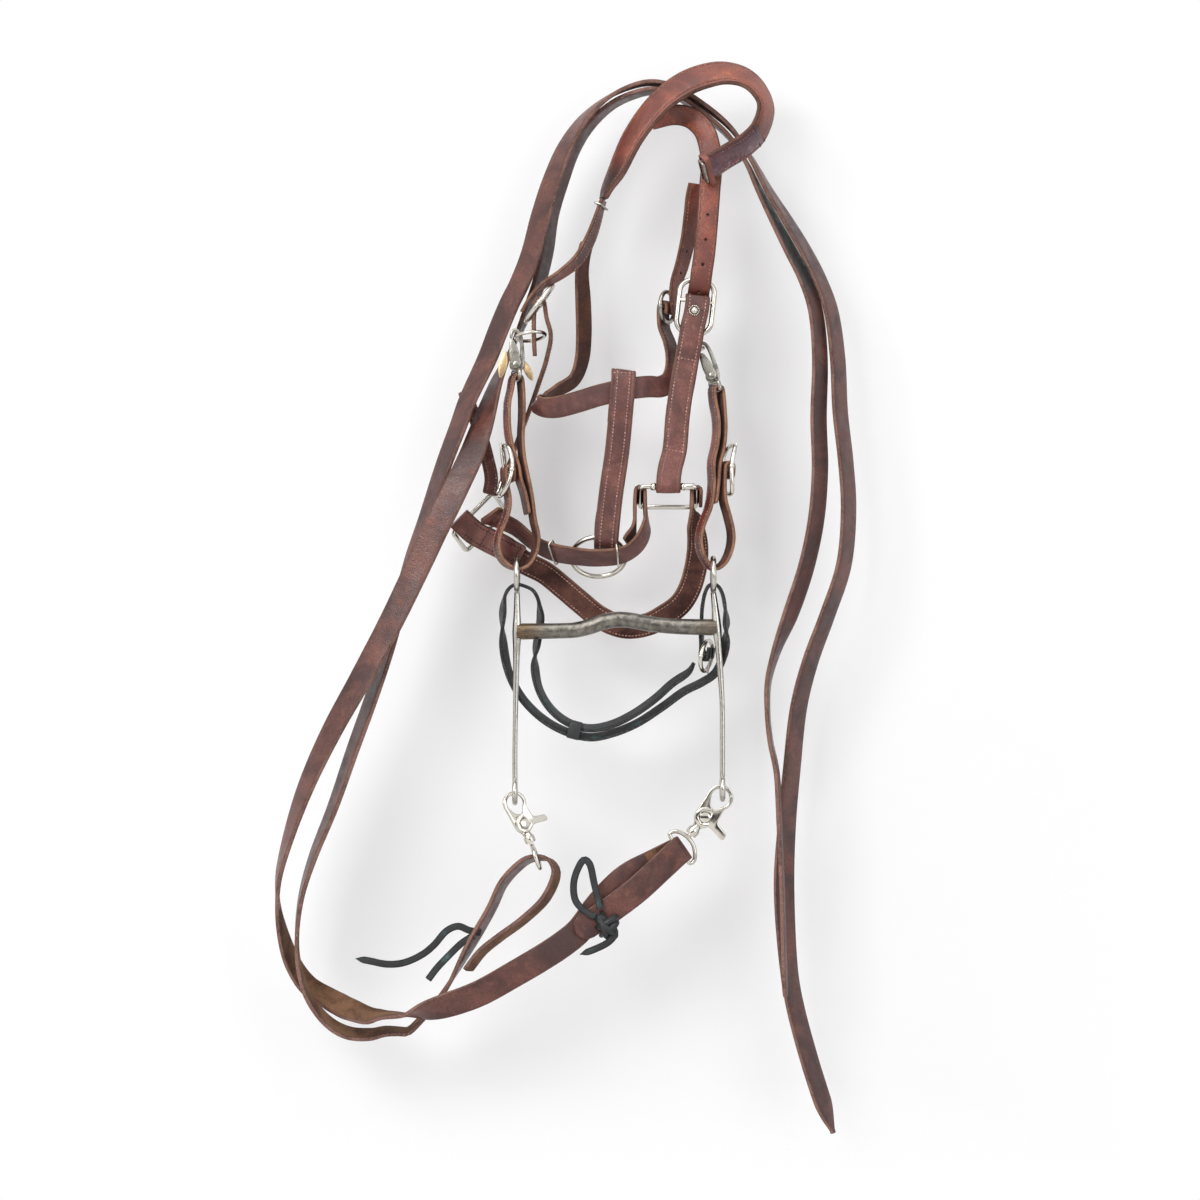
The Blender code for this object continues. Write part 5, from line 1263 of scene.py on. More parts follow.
def hanger_snap(side, rivet, up, bar_way):
    """One snap above a bit hanger: a hook with a loop for the strap, and a sprung gate on a rivet."""
    finish = "nickel_plate"
    up = Vector(up).normalized()
    right = Vector((up.z, 0, -up.x))
    back = Vector((0, 1, 0))
    turn = Matrix(((right.x, up.x, back.x, rivet[0]), (right.y, up.y, back.y, rivet[1]),
                   (right.z, up.z, back.z, rivet[2]), (0, 0, 0, 1)))
    half = SNAP_PLATE / 2
    hook = plate("hanger_hook_" + side, hook_outline(), turn, -half, half, "antique_nickel")
    reach = Vector(bar_way).normalized() * (width("hanger") / 2 + FIT_GAP + BAR_RADIUS + 0.2)
    top = Vector(rivet) - up * 4.6
    low = Vector(rivet) - up * 10.6
    loop = rounded_frame((top + low) / 2, (top - low) / 2, reach, corner=0.5)
    join(hook, wire("loop", loop, BAR_RADIUS, finish, closed=True, normal=up.cross(reach)))
    gate_low = -half - FIT_GAP - 1.8
    front = Vector((0, gate_low - 1.0, 0))
    join(hook, rod("pin", Vector(rivet), Vector(rivet) + front, 1.5, finish))
    head = Vector(rivet) + Vector((0, gate_low - FIT_GAP, 0))
    join(hook, rod("head", head, head - Vector((0, 0.9, 0)), 2.4, finish))
    settle(hook, "halter", "hanger_snap_" + side)
    outline = [(3.6, 0.3), (3.0, 3), (2.2, 6), (1.0, 10), (-0.9, 14.5), (-2.6, 17.7), (-5.8, 17.7), (-6, 8),
               (-4.8, 1), (-3, -1.8), (-1.4, -2.9), (1.5, -2.9)]
    gate = plate("hanger_gate_lever_" + side, outline, turn, gate_low, gate_low + 1.8, "antique_nickel")
    settle(gate, "gate_" + side, "hanger_gate_" + side)
    return low


def bowed_buckle(name, first, last, bar, bar_way, half_wide, finish):
    """A bowed frame from its top end to its bottom end; its bar lies off the line between them."""
    top = Vector(first)
    bottom = Vector(last)
    centre = (top + bottom) / 2
    long_half = (top - bottom) / 2
    reach = Vector(bar_way).normalized() * half_wide
    bow = Vector(bar) - centre
    places = []
    for number in range(84):
        angle = 2 * math.pi * number / 84
        share = math.copysign(abs(math.cos(angle)) ** 0.6, math.cos(angle))
        away = math.copysign(abs(math.sin(angle)) ** 0.6, math.sin(angle))
        places.append(centre + long_half * share + reach * away + bow * (1 - share * share))
    item = wire(name, places, BUCKLE_WIRE, finish, closed=True, normal=long_half.cross(reach))
    join(item, rod("bar", Vector(bar) - reach, Vector(bar) + reach, BAR_RADIUS, finish))
    join(item, ball(Vector(bar) - reach, 2.2, finish))
    return item


def prong(name, bar, rest, out_way, bar_way, finish):
    """A buckle's tongue: its eye round the bar and its tip over the frame's end."""
    out = Vector(out_way).normalized()
    side = Vector(bar_way).normalized()
    begin = Vector(bar)
    end = Vector(rest)
    long_way = (end - begin).normalized()
    out = (out - side * out.dot(side)).normalized()
    eye = BAR_RADIUS + FIT_GAP + TONGUE_RADIUS
    item = wire(name, oval(begin, side.cross(out) * eye, out * eye, 32), TONGUE_RADIUS, finish, closed=True,
                normal=side)
    over = BUCKLE_WIRE + FIT_GAP + TONGUE_RADIUS
    route = (begin + out * eye - long_way * 1.0, begin + out * (eye + 0.6) + long_way * 4,
             end + out * over + long_way * 1.8)
    return join(item, wire("prong", route, (0.9, 0.95, 0.7), finish, normal=side))


def bit_hanger(side, rivet, up, over, bar, buckle_ends, first, middle, last):
    """A hanger: over the loop of its snap, down round the bit's eye and up to the bar of its buckle."""
    sign = -1 if side == "left" else 1
    yaw = Vector((-0.3, 0.95, 0)).normalized()
    bend = BAR_RADIUS + FIT_GAP + HANGER_THICK / 2 + 0.1
    bar = Vector(bar)
    low = hanger_snap(side, rivet, up, yaw)
    points = first + fold(low, over, bend, (0.97 * sign, 0.25 * sign, 0)) + middle
    points += fold(bar, (0.05, 0, 1), bend, (-0.95, -0.3, 0)) + last
    wide = width("hanger")
    run = Run(lying(points, yaw))
    skins = HANGER if side == "left" else HANGER_TURNED
    item = strap_body(side + "_bit_hanger", run, wide, HANGER_THICK, skins, groove=0.2)
    tongue_slot(item, bar, (0, 0, 1), yaw, "hanger_raw_edge")
    settle(item, "halter", "hanger_strap_" + side)
    sew("halter", "linen_thread", double_rows(run, wide, HANGER_THICK, 40, -40, side=-sign))
    item = bowed_buckle(side + "_hanger_buckle", *buckle_ends, bar, yaw, 10.2, "nickel_plate")
    settle(item, "halter", "hanger_buckle_" + side)
    item = prong(side + "_hanger_prong", bar, buckle_ends[0], (sign, 0.3 * sign, 0), yaw, "nickel_plate")
    settle(item, "tongue_" + side, "hanger_tongue_" + side)


def make_hangers():
    first = [(-116.5, -19, -285.5), (-119.5, -18, -271), (-122.8, -17, -260.5), (-124.2, -16, -252),
             (-128.6, -15, -238), (-131, -13.5, -224.5), (-131, -12.3, -205), (-129.2, -11.5, -197)]
    middle = [(-121, -11.5, -199), (-120.8, -13, -215), (-121.5, -14, -232), (-120.3, -15.5, -246),
              (-117.6, -17, -259), (-115, -18, -272), (-112.5, -19.5, -290), (-110, -20, -302.5),
              (-112, -20, -314), (-117.5, -20, -322), (-124, -20, -324.5), (-130.5, -20, -322.6),
              (-136, -20, -317), (-138.5, -20, -308), (-136.5, -19.5, -298), (-132.3, -18.5, -288),
              (-130.4, -18, -277), (-132, -17, -266.5), (-133.2, -16.3, -260)]
    bit_hanger("left", LEFT_GATE_RIVET, (0.04, 0, 1), (0, 0, 1), LEFT_HANGER_BAR,
               ((-133, -15, -236.5), (-137.4, -17, -273)), first, middle,
               [(-127.6, -15.5, -258.5), (-128, -16, -262.5)])
    leaf = [(0, -9), (2.2, -5), (2.9, 0), (2.2, 5), (0.2, 9.5), (-2.0, 5), (-2.6, 0), (-2.0, -5)]
    for side, spot, lean, share in (("left", (-134.3, -17.5, -179), 10, 1.2),
                                    ("right", (-116.8, -9, -182.5), -26, 1.0)):
        turn = Matrix.Translation(spot) @ Matrix.Rotation(math.radians(lean), 4, "Y")
        turn = turn @ Matrix.Rotation(math.pi / 2, 4, "X")
        outline = [(u * share, v * share) for u, v in leaf]
        settle(plate("eye_plate_" + side, outline, turn, -0.7, 0.7, "brass_wash"), "halter")
    first = [(16.3, -18, -278), (18.2, -16, -262), (19.2, -14.5, -250), (22, -12, -239), (23.4, -10, -226),
             (23.2, -7.5, -215), (22.6, -5.5, -205)]
    middle = [(16.4, -5.5, -205), (18.3, -8, -216), (18.6, -10.5, -227), (17.3, -12, -237),
              (14.9, -14.5, -248), (15, -16.5, -265), (12.6, -18, -281), (7.5, -19.5, -294),
              (5.6, -20, -306), (9, -20, -317.5), (16, -20, -324.7), (22.6, -20, -321), (27.5, -20, -311),
              (28.7, -20, -300), (26.2, -19, -287.5), (23, -17.5, -275), (22.6, -16, -264),
              (22.8, -15, -257)]
    bit_hanger("right", RIGHT_GATE_RIVET, (-0.25, 0, 0.968), (-0.2, 0, 1), RIGHT_HANGER_BAR,
               ((30, -13.5, -236.5), (27.6, -16.5, -271.5)), first, middle,
               [(28.8, -14, -256), (28.2, -14.5, -260)])


def make_halter_rings():
    spots = oval((-114.6, -11.3, -158.2), (10.4, 0, 1.2), (0, 10.8, -2.2))
    item = wire("left_halter_ring", spots, HALTER_RING_WIRE, "nickel_plate", closed=True,
                normal=(0.1, 0.2, 1))
    settle(item, "halter", "halter_ring_left")
    spots = oval((1.5, -2, -166.1), (8, 0, 0), (0, 8, -0.8))
    item = wire("right_halter_ring", spots, HALTER_RING_WIRE, "nickel_plate", closed=True,
                normal=(0, 0.1, 1))
    settle(item, "halter", "halter_ring_right")


def make_bit():
    eye_low = SWING_HEIGHT - SHANK_EYE_RADIUS
    mouth = [(-124, BIT_DEPTH, -369.5), (-93.5, BIT_DEPTH, -369), (-83, BIT_DEPTH, -368.5),
             (-72, BIT_DEPTH, -366), (-62, BIT_DEPTH, -362.5), (-52.5, BIT_DEPTH, -361),
             (-43, BIT_DEPTH, -361.5), (-32.5, BIT_DEPTH, -363.5), (-21.5, BIT_DEPTH, -365),
             (-7, BIT_DEPTH, -366), (18, BIT_DEPTH, -366.5)]
    left = ((-124, eye_low), (-124, -357), (-124, -369.5), (-124.3, -382), (-125, -420), (-125.5, -455),
            (-125.5, -484 + REIN_EYE_RADIUS))
    right = ((16, eye_low), (17.5, -354), (18.5, -366.5), (19.6, -379), (22.3, -420), (22.5, -450),
             (22.5, -481.5 + REIN_EYE_RADIUS))
    girths = (SHANK_WIRE, 2.6, 3.4, 2.6, SHANK_WIRE, SHANK_WIRE, SHANK_WIRE)
    for side, x, levels in (("left", LEFT_SHANK_X, left), ("right", RIGHT_SHANK_X, right)):
        places = [(px, BIT_DEPTH, pz) for px, pz in levels]
        item = wire("bit_shank_" + side, places, girths, "pitted_steel")
        eye = oval((x, BIT_DEPTH, SWING_HEIGHT), (0, SHANK_EYE_RADIUS, 0), (0, 0, SHANK_EYE_RADIUS))
        join(item, wire("eye", eye, SHANK_WIRE, "pitted_steel", closed=True, normal=(1, 0, 0)))
        last = places[-1]
        ring = oval((last[0], BIT_DEPTH, last[2] - REIN_EYE_RADIUS), (0, REIN_EYE_RADIUS, 0),
                    (0, 0, REIN_EYE_RADIUS))
        join(item, wire("ring", ring, SHANK_WIRE, "pitted_steel", closed=True, normal=(1, 0, 0)))
        settle(item, "bit", "shank_" + side)
    thickness = (5.9, 5.5, 5.5, 5.6, 5.7, 5.7, 5.6, 5.5, 5.5, 5.6, 5.9)
    item = wire("low_port_mouthpiece", mouth, thickness, "sweet_iron")
    for x, z in ((-124, -369.5), (18.5, -366.5)):
        socket = rod("bore", (x, BIT_DEPTH, z - 14), (x, BIT_DEPTH, z + 14), 3.4 + FIT_GAP, "sweet_iron")
        cut(item, socket)
    item.data.set_sharp_from_angle(angle=math.radians(40))
    settle(item, "bit", "mouthpiece")


def make_curb():
    low = SWING_HEIGHT - 6.8
    deep = (0, 1, 0)
    turned = Vector((0.45, 0.89, 0)).normalized()
    bar = Vector(CURB_BAR)
    bend = BAR_RADIUS + FIT_GAP + CURB_THICK / 2
    rows = lying([(14.9, -11, -381), (14.6, -11, -384)], turned)
    rows += lying(fold(bar, (0, 0, -1), bend, (0.89, -0.45, 0)), turned)
    rows += lying([(8.2, -8.6, -380), (8, -8, -370)], (0.2, 0.98, 0))
    rows += lying([(8, -9, -360), (8.6, -13, -351), (10.3, -18, -342), (13, BIT_DEPTH, low - 0.8),
                   (16, BIT_DEPTH, low), (19, BIT_DEPTH, low - 0.8), (22.3, BIT_DEPTH, -342),
                   (24.3, BIT_DEPTH, -352)], deep)
    below = len(rows)
    rows += lying([(25.4, -19, -364), (25.2, -17, -375), (23, -12.5, -388), (17.5, -11.8, -399.5),
                   (8, -12.5, -406), (-5, -13.5, -412.5), (-21, -13.5, -424), (-39, -13.5, -435.5),
                   (-56, -13.5, -442.3), (-70.5, -13.5, -445.2), (-83, -13.5, -443.2),
                   (-97, -13.5, -437.5), (-110, -12.2, -428.5), (-121, -11.7, -416.5),
                   (-129.5, -12.6, -400.5), (-134, -16, -378), (-134.2, -19.5, -356),
                   (-132, BIT_DEPTH, -342.5), (-128.2, BIT_DEPTH, low - 1.6), (-124, BIT_DEPTH, low),
                   (-119, BIT_DEPTH, low - 1.2), (-113, -18.5, -340), (-108.6, -14, -348),
                   (-107.4, -9, -358), (-108.6, -7, -370), (-110.5, -7.5, -381), (-111.5, -9.5, -394),
                   (-109, -12, -409), (-103, -13, -421), (-94, -13.5, -430.5), (-82.5, -13.5, -436.8),
                   (-70.5, -13.5, -438.8), (-56, -13.5, -435.8), (-41, -13, -428.5), (-26, -13, -418),
                   (-13, -12.5, -406.5), (-1, -12, -398), (2.5, -11, -392)],
                  deep)
    places = [Vector(row[:3]) for row in rows]
    for index, along in enumerate(tangents(places)):
        if index >= below and places[index].z < CURB_LEAN_BELOW:
            flat = Vector((-along.z, 0, along.x)).normalized()
            flat = flat if flat.z > 0 else -flat
            across = Vector(deep) * math.cos(CURB_LEAN) + flat * math.sin(CURB_LEAN)
            rows[index] = (*places[index], *across)
    run = Run(rows)
    wide = width("curb")
    item = strap_body("curb_strap_black", run, wide, CURB_THICK, BLACK, ("soft", "point"), dome=0.1)
    tongue_slot(item, bar, (0, 0, 1), turned, "black_raw_edge")
    settle(item, "bit", "curb_strap")
    item = band("curb_keeper_black", (-83, -13.5, -440), (0.97, 0, -0.25), (0, 1, 0),
                wide / 2 + KEEPER_THICK / 2 + 0.4, 5.8, KEEPER_WIDTH, KEEPER_THICK, "black_grain_leather")
    settle(item, "bit", "curb_keeper")
    item = buckle("curb_buckle_small", bar, (0.15, 0, 1), turned, 11, 9.3, "nickel_plate")
    settle(item, "bit", "curb_buckle")
    item = prong("curb_prong", bar, bar - Vector((1.65, 0, 10.9)), (0.89, -0.45, 0), turned, "nickel_plate")
    settle(item, "tongue_curb", "curb_tongue")


def make_reins():
    """Each rein is one strap to its leftmost place, and from there a separate band that is baked in place and
    rides on no body.
    """
    wide = width("rein")
    first = [(103.5, 4, -731.5, 125), (98, 4, -715.5, 128), (87, 8, -681, 130), (77, 12.5, -643.5, 130),
             (72.5, 14, -618, 130), (68.5, 13, -554.5, 140), (70.5, 13, -510, 132), (74, 12, -469.5, 130),
             (79, 9, -423.5, 128), (87, 6, -391.5, 126), (99.5, 4, -357, 124), (111, 4, -322, 124),
             (114.5, 4, -282, 124), (112.5, 4, -247.5, 124), (108.5, 4, -211.5, 124),
             (106.5, 4, -171.5, 124), (101.5, 4, -137, 122), (93.5, 4, -115, 120), (84, 4, -96, 118),
             (72, 5, -75.5, 115), (57.5, 6, -52, 108), (44.5, 8, -28, 100), (30, 10, -6, 94),
             (7.5, 12, 12.8, 90), (-13, 12, 24.5, 90), (-28, 12, 27.5, 92), (-42.5, 11, 24.5, 94),
             (-60.5, 7, 15, 100), (-77, 3.8, -0.5, 112), (-89.5, 2.6, -20, 124), (-99.5, 2, -44.5, 132),
             (-107.5, 1, -70.5, 136), (-114.5, 0, -98, 138), (-123, -2, -120, 138),
             (-129.5, -3, -133, 138), (-138, -4.5, -153.5, 138), (-145.5, -6, -173, 136),
             (-160, -9, -204.5, 130), (-166.5, -11, -223, 128), (-173, -12, -240, 126),
             (-179.5, -13, -258.5, 124), (-189.5, -14, -289.5, 122), (-199.5, -14, -318, 120),
             (-215.5, -14, -378, 118), (-228, -14, -416, 118), (-242, -14, -455, 116),
             (-255.5, -14, -494, 112), (-270.5, -15, -532, 106), (-278, -17, -558, 100),
             (-281, -19, -584, 96), (-280, -21, -606, 92), (-273, -20.5, -629.5, 86),
             (-259, -19, -648, 80), (-245, -15, -656.5, 76), (-229, -12, -658, 76), (-219, -11, -656, 80),
             (REIN_PART_X, -11, -656, 84), (-202.5, -11, -656, 84), (-194.5, -10, -649, 84),
             (-182, -10.5, -635, 88), (-173, -15, -622, 90)]
    rows = faced(first)
    rows += lying([(-157, -18, -593), (-142, -20, -566.5), (-134, -20, -549.5), (-124, -20, -538)], LOOP_LEAN)
    rows += lying([(-116.5, -20, -532.5), (-108.5, -20, -530.8), (-100.5, -20, -533), (-96.2, -20, -541),
                   (-103, -20, -559), (-119, -20, -575), (-136, -20, -587.5), (-149, -20, -598),
                   (-159, -19, -611)],
                  LOOP_LEAN)
    run = Run(rows)
    joint = run.nearest((-281, -19, -584))
    item = strap_body("rein_a_upper", run, wide, REIN_THICK, LATIGO_TURNED, ("point", "square"),
                      dome=0.15, step=4.0, span=(0.0, joint))
    settle(item, "halter", "rein_a")
    item = strap_body("rein_a_lower", run, wide, REIN_THICK, LATIGO_TURNED, ("square", "soft"),
                      dome=0.15, step=3.0, span=(joint, run.total))
    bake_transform(item)
    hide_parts("rein_end_left")

    second = [(68.5, -6, -632, 98), (67.5, -6, -609, 98), (66, -6, -554.5, 97), (64, -6, -505.5, 98),
              (62, -6, -470, 98), (57.5, -6, -448, 97), (55.5, -6, -427, 97), (56, -6, -406, 100),
              (62, -6, -383, 108), (72, -7, -357, 124), (83.5, -8, -322, 126), (90.5, -8, -287.5, 126),
              (93, -8, -252, 126), (92, -8, -217.5, 126), (93, -7, -171.5, 124), (89.5, -6, -137, 122),
              (82, -4, -115, 120), (72.5, -2, -96, 118), (62, 0, -75.5, 112), (50.5, 4, -52, 104),
              (41, 8, -31, 98), (27.5, 10, -11, 93), (6, 12, 7.5, 90), (-13, 12, 19.5, 90),
              (-27.5, 12, 21.5, 88), (-41, 12, 18.5, 86), (-56, 13.8, 11.5, 84), (-72, 14.8, -3, 78),
              (-83.5, 14.8, -20, 70), (-92, 13.5, -42, 66), (-99.5, 13, -67.5, 66),
              (-103.5, 12.5, -95, 66), (-109.5, 12, -119, 68), (-115, 11, -133, 74),
              (-122.5, 9.5, -151, 84), (-131, 6, -170, 96), (-139, 0, -188.5, 112),
              (-145.5, -6, -209, 130), (-151, -14, -227.5, 145), (-157, -22, -245, 155),
              (-167, -29, -267, 162), (-174, -31, -281.5, 166), (-181.5, -31, -296.5, 166),
              (-194.5, -30, -324, 162), (-214.5, -29, -365, 154), (-235.5, -28, -404, 146),
              (-256.5, -27, -442, 138), (-274.5, -26, -481, 126), (-287.5, -25, -519, 112),
              (-294, -22, -545, 102), (-295, -17, -566.5, 92), (-291.5, -8, -590.5, 76),
              (-285, 0, -610.5, 64), (-275, 3, -625, 54), (-260.5, 0.5, -633.5, 52), (-250, -8, -638, 54),
              (-240, -17.5, -641, 58), (-228, -25, -643.4, 68), (-219, -28, -642, 84),
              (REIN_PART_X, -28, -642, 90), (-202.5, -28, -642, 98), (-187, -30, -638.5, 140),
              (-173, -31, -634.5, 160), (-151, -31, -626.5, 170), (-124.5, -30, -612, 176),
              (-104.5, -27, -600.5, 180), (-92, -24.5, -592.5, 180), (-80, -21.5, -583, 180),
              (-65, -18.5, -563.5, 180), (-46, -17, -545, 180), (-26, -16.7, -534.5, 180)]
    bend = BAR_RADIUS + FIT_GAP + REIN_THICK / 2
    across = (0.57, 0, -0.82)
    rows = faced(second)
    rows += lying(fold((-8, BIT_DEPTH, -525.5), (0.82, 0, 0.57), bend, (0, 1, 0)), across)
    rows += lying([(-22.5, -23.3, -539), (-39, -23.5, -554), (-58.5, -24.2, -568.5), (-76, -25.4, -580),
                   (-82, -25.6, -583.5)], across)
    run = Run(rows)
    joint = run.nearest((-295, -17, -566.5))
    item = strap_body("rein_b_upper", run, wide, REIN_THICK, BLACKENED_TURNED, ("round", "square"),
                      dome=0.15, step=4.0, span=(0.0, joint))
    settle(item, "halter", "rein_b")
    item = strap_body("rein_b_lower", run, wide, REIN_THICK, LATIGO_TURNED, ("square", "round"),
                      dome=0.15, step=3.0, swap=run.total - 130, span=(joint, run.total))
    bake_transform(item)
    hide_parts("rein_end_right")


def make_laces():
    left = [(-150, -22, -584), (-158, -26, -582), (-165.5, -27, -579), (-173.5, -27, -582),
            (-183, -27, -592.5), (-191, -27, -599), (-204.5, -27, -605), (-216, -27, -606),
            (-229.5, -27, -603.5), (-238.5, -27, -602)]
    tail = [(-155, -24, -586), (-163, -26, -591), (-173.5, -27, -601), (-181, -27, -609), (-187, -27, -617)]
    loop = [(-64.5, -28.6, -566.5), (-69, -28.4, -548), (-72.5, -28.2, -534), (-76, -28.2, -531.5),
            (-80.5, -28.2, -538), (-83.5, -28.4, -548.5), (-82, -28.8, -561), (-74, -29.2, -569),
            (-68, -29.6, -572)]
    low = [(-57, -33, -579), (-54, -33, -583), (-58, -33, -589), (-68, -32.6, -594.5), (-79, -32, -598.5)]
    for name, points, node, tip in (("left_lace", left, "lace_left", "point"),
                                    ("left_lace_tail", tail, "lace_left_tail", "soft"),
                                    ("right_lace_loop", loop, "lace_right", "soft"),
                                    ("right_lace_tail", low, "lace_right_tail", "point")):
        run = Run(faced([(*point, 0) for point in points]))
        item = strap_body(name, run, width("lace"), LACE_THICK, BLACK, ("soft", tip), dome=0.15, step=1.5)
        settle(item, "bit", node)
    core = [(-67, -29.5, -571.5), (-65, -30, -573), (-62, -30.2, -576), (-58.5, -30.2, -580),
            (-55.5, -30, -583), (-54, -29.5, -584.5)]
    item = wire("right_lace_knot", core, (2.0, 4.2, 5.0, 5.0, 4.2, 2.0), "black_grain_leather")
    turns = ([(-67.5, -27, -573.5), (-65, -33, -575), (-59.5, -35.2, -580), (-55, -32.5, -584),
              (-53.5, -27, -586)],
             [(-67, -27, -580), (-64, -33, -578), (-58, -34.6, -574.5), (-54, -32, -572.5), (-53, -27, -572)],
             [(-64, -27, -585.5), (-61, -33, -583), (-56, -34.4, -579), (-53.5, -32, -576.5),
              (-53, -27, -575.5)],
             [(-63, -27, -569.5), (-63.8, -33, -574), (-62, -35, -580), (-60.5, -33, -584.5),
              (-59.5, -27, -587)])
    for turn in turns:
        join(item, wire("turn", turn, (1.8, 2.4, 2.6, 2.4, 1.8), "black_grain_leather"))
    settle(item, "bit", "lace_knot_right")


def snap_place(pivot, up, turn):
    """A frame at a snap's pivot: first direction to the right, second up the snap, third backward."""
    up = Vector(up).normalized()
    spin = Matrix.Rotation(math.radians(turn), 3, up)
    right = spin @ Vector((up.z, 0, -up.x))
    back = spin @ Vector((0, 1, 0))
    return Matrix(((right.x, up.x, back.x, pivot[0]), (right.y, up.y, back.y, pivot[1]),
                   (right.z, up.z, back.z, pivot[2]), (0, 0, 0, 1)))


def rein_snap(side, turn, size, dee):
    """A swivel snap: the body with its fixed jaw, the moving jaw on the rivet, and the dee on its stem."""
    finish = "nickel_plate"

    def at(v, u, n=0.0):
        return turn @ Vector((v, u, n))

    def scaled(points):
        return [(v * size, u * size) for v, u in points]

    ring = (-0.6, 17.8)
    half = 1.3
    outline = [(6, -5), (3.4, -7.6), (3.2, -10.5), (-3.2, -10.5), (-3.4, -7.6), (-6, -5), (-7.4, -1.5),
               (-8.4, 7)]
    outline += arc(ring, 9.4, 200, 40, 12)
    outline += arc(ring, 6.5, 40, 222, 12) + [(-2.6, 9.2), (2, 8), (5.5, 5.6), (7.2, 2), (7, -2.6)]
    body = plate("rein_snap_body_" + side, scaled(outline), turn, 0.15, 0.15 + 2 * half, finish)
    line = [at(0, -8.6 * size, 0.6)] + [at(0, -back * size) for back in (10, 11.5, 14, 16)]
    girths = tuple(girth * size for girth in (3.0, 3.4, 4.4, 4.5, 4.2))
    collar = wire("collar", line, girths, finish, normal=turn.to_3x3() @ Vector((0, 0, 1)))
    bore = rod("bore", at(0, -12 * size), at(0, -20 * size), 1.7 * size + FIT_GAP, finish)
    cut(collar, bore)
    join(body, collar)
    join(body, rod("rivet", at(0, 0, 1), at(0, 0, -3.6), 3 * size, finish))
    line = [at(0, 0, -3.1), at(0, 0, -3.5), at(0, 0, -3.9)]
    girths = (3.9 * size, 3.7 * size, 2.2 * size)
    join(body, wire("head", line, girths, finish, normal=turn.to_3x3() @ Vector((0, 1, 0))))
    body.data.set_sharp_from_angle(angle=math.radians(40))
    settle(body, "snap_" + side, "rein_snap_" + side)
    outline = arc((0, 0), 7.4, 175, 330, 10) + [(10, -3.6), (14, -4.2), (19.4, -5), (20.6, -3.4), (19.8, 0.6),
                                               (15, 1.2), (9, 2.6)]
    outline += [(8.2, 7)] + arc(ring, 9.2, -35, 52, 8) + arc(ring, 6.7, 52, -42, 8)
    outline += [(2, 8.2), (-2.5, 7.4), (-6, 4.5)]
    jaw = plate("rein_snap_jaw_" + side, scaled(outline), turn, -0.15 - 2 * half, -0.15, finish)
    hole = rod("hole", at(0, 0, -9), at(0, 0, 9), 3 * size + FIT_GAP, finish)
    cut(jaw, hole)
    settle(jaw, "jaw_" + side, "rein_jaw_" + side)
    swivel = wire("rein_dee_" + side, dee, BAR_RADIUS, finish, closed=True,
                  normal=(dee[1] - dee[0]).cross(dee[-2] - dee[0]))
    join(swivel, rod("stem", at(0, -12.4 * size), dee[0], 1.7 * size, finish))
    settle(swivel, "bit", "rein_swivel_" + side)


def make_rein_snaps():
    turn = snap_place(RIGHT_SNAP_RIVET, (0.645, 0, 0.764), 0)
    dee = [turn @ Vector((v, u, 0)) for v, u in ((0, -18.6), (-6, -19.2), (-10.2, -21.4), (-12, -24.4),
                                                (-10.9, -26.3), (1.4, -29.6), (12.4, -32.6), (14.2, -31),
                                                (14, -27), (7.4, -20.4))]
    rein_snap("right", turn, 1.0, [dee[0], *rounded_loop(dee)[2:-1]])
    turn = snap_place(LEFT_SNAP_RIVET, (-0.37, 0, 0.93), 30)
    bar = Vector((-107.5, BIT_DEPTH, -538))
    neck = turn @ Vector((0, -16.8, 0))
    reach = Vector((0, 1, 0))
    low = (bar - neck).normalized()
    dee = [neck, neck + reach * 6 + low * 1.0, neck + reach * 10.5 + low * 4, neck + reach * 12 + low * 8,
           bar + reach * 10.5, bar, bar - reach * 10.5, neck - reach * 12 + low * 8,
           neck - reach * 10.5 + low * 4, neck - reach * 6 + low * 1.0]
    rein_snap("left", turn, 0.9, [dee[0], *rounded_loop(dee)[2:-1]])


def make_stitches():
    for (body, finish), rows in STITCHES.items():
        name = f"{finish}_stitches_{body}"
        if finish == HOLE_RIM:
            item = beads("billet_hole_rims", rows, 0.55, (0.8, 0.4, 0.3), finish, sunk=0.05)
        else:
            size = (mm(sizes().stitch_length), 1.0, 0.7)
            item = beads(name, rows, mm(sizes().stitch_spacing), size, finish, slant=0.16, sunk=0.02)
        settle(item, body)


def sheet(name, corners, finish):
    """One flat face in metres; its corners run anticlockwise as its front shows them."""
    mesh = bpy.data.meshes.new(name)
    mesh.from_pydata(corners, [], [tuple(range(len(corners)))])
    mesh.materials.append(MATERIALS[finish])
    return link(name, mesh)


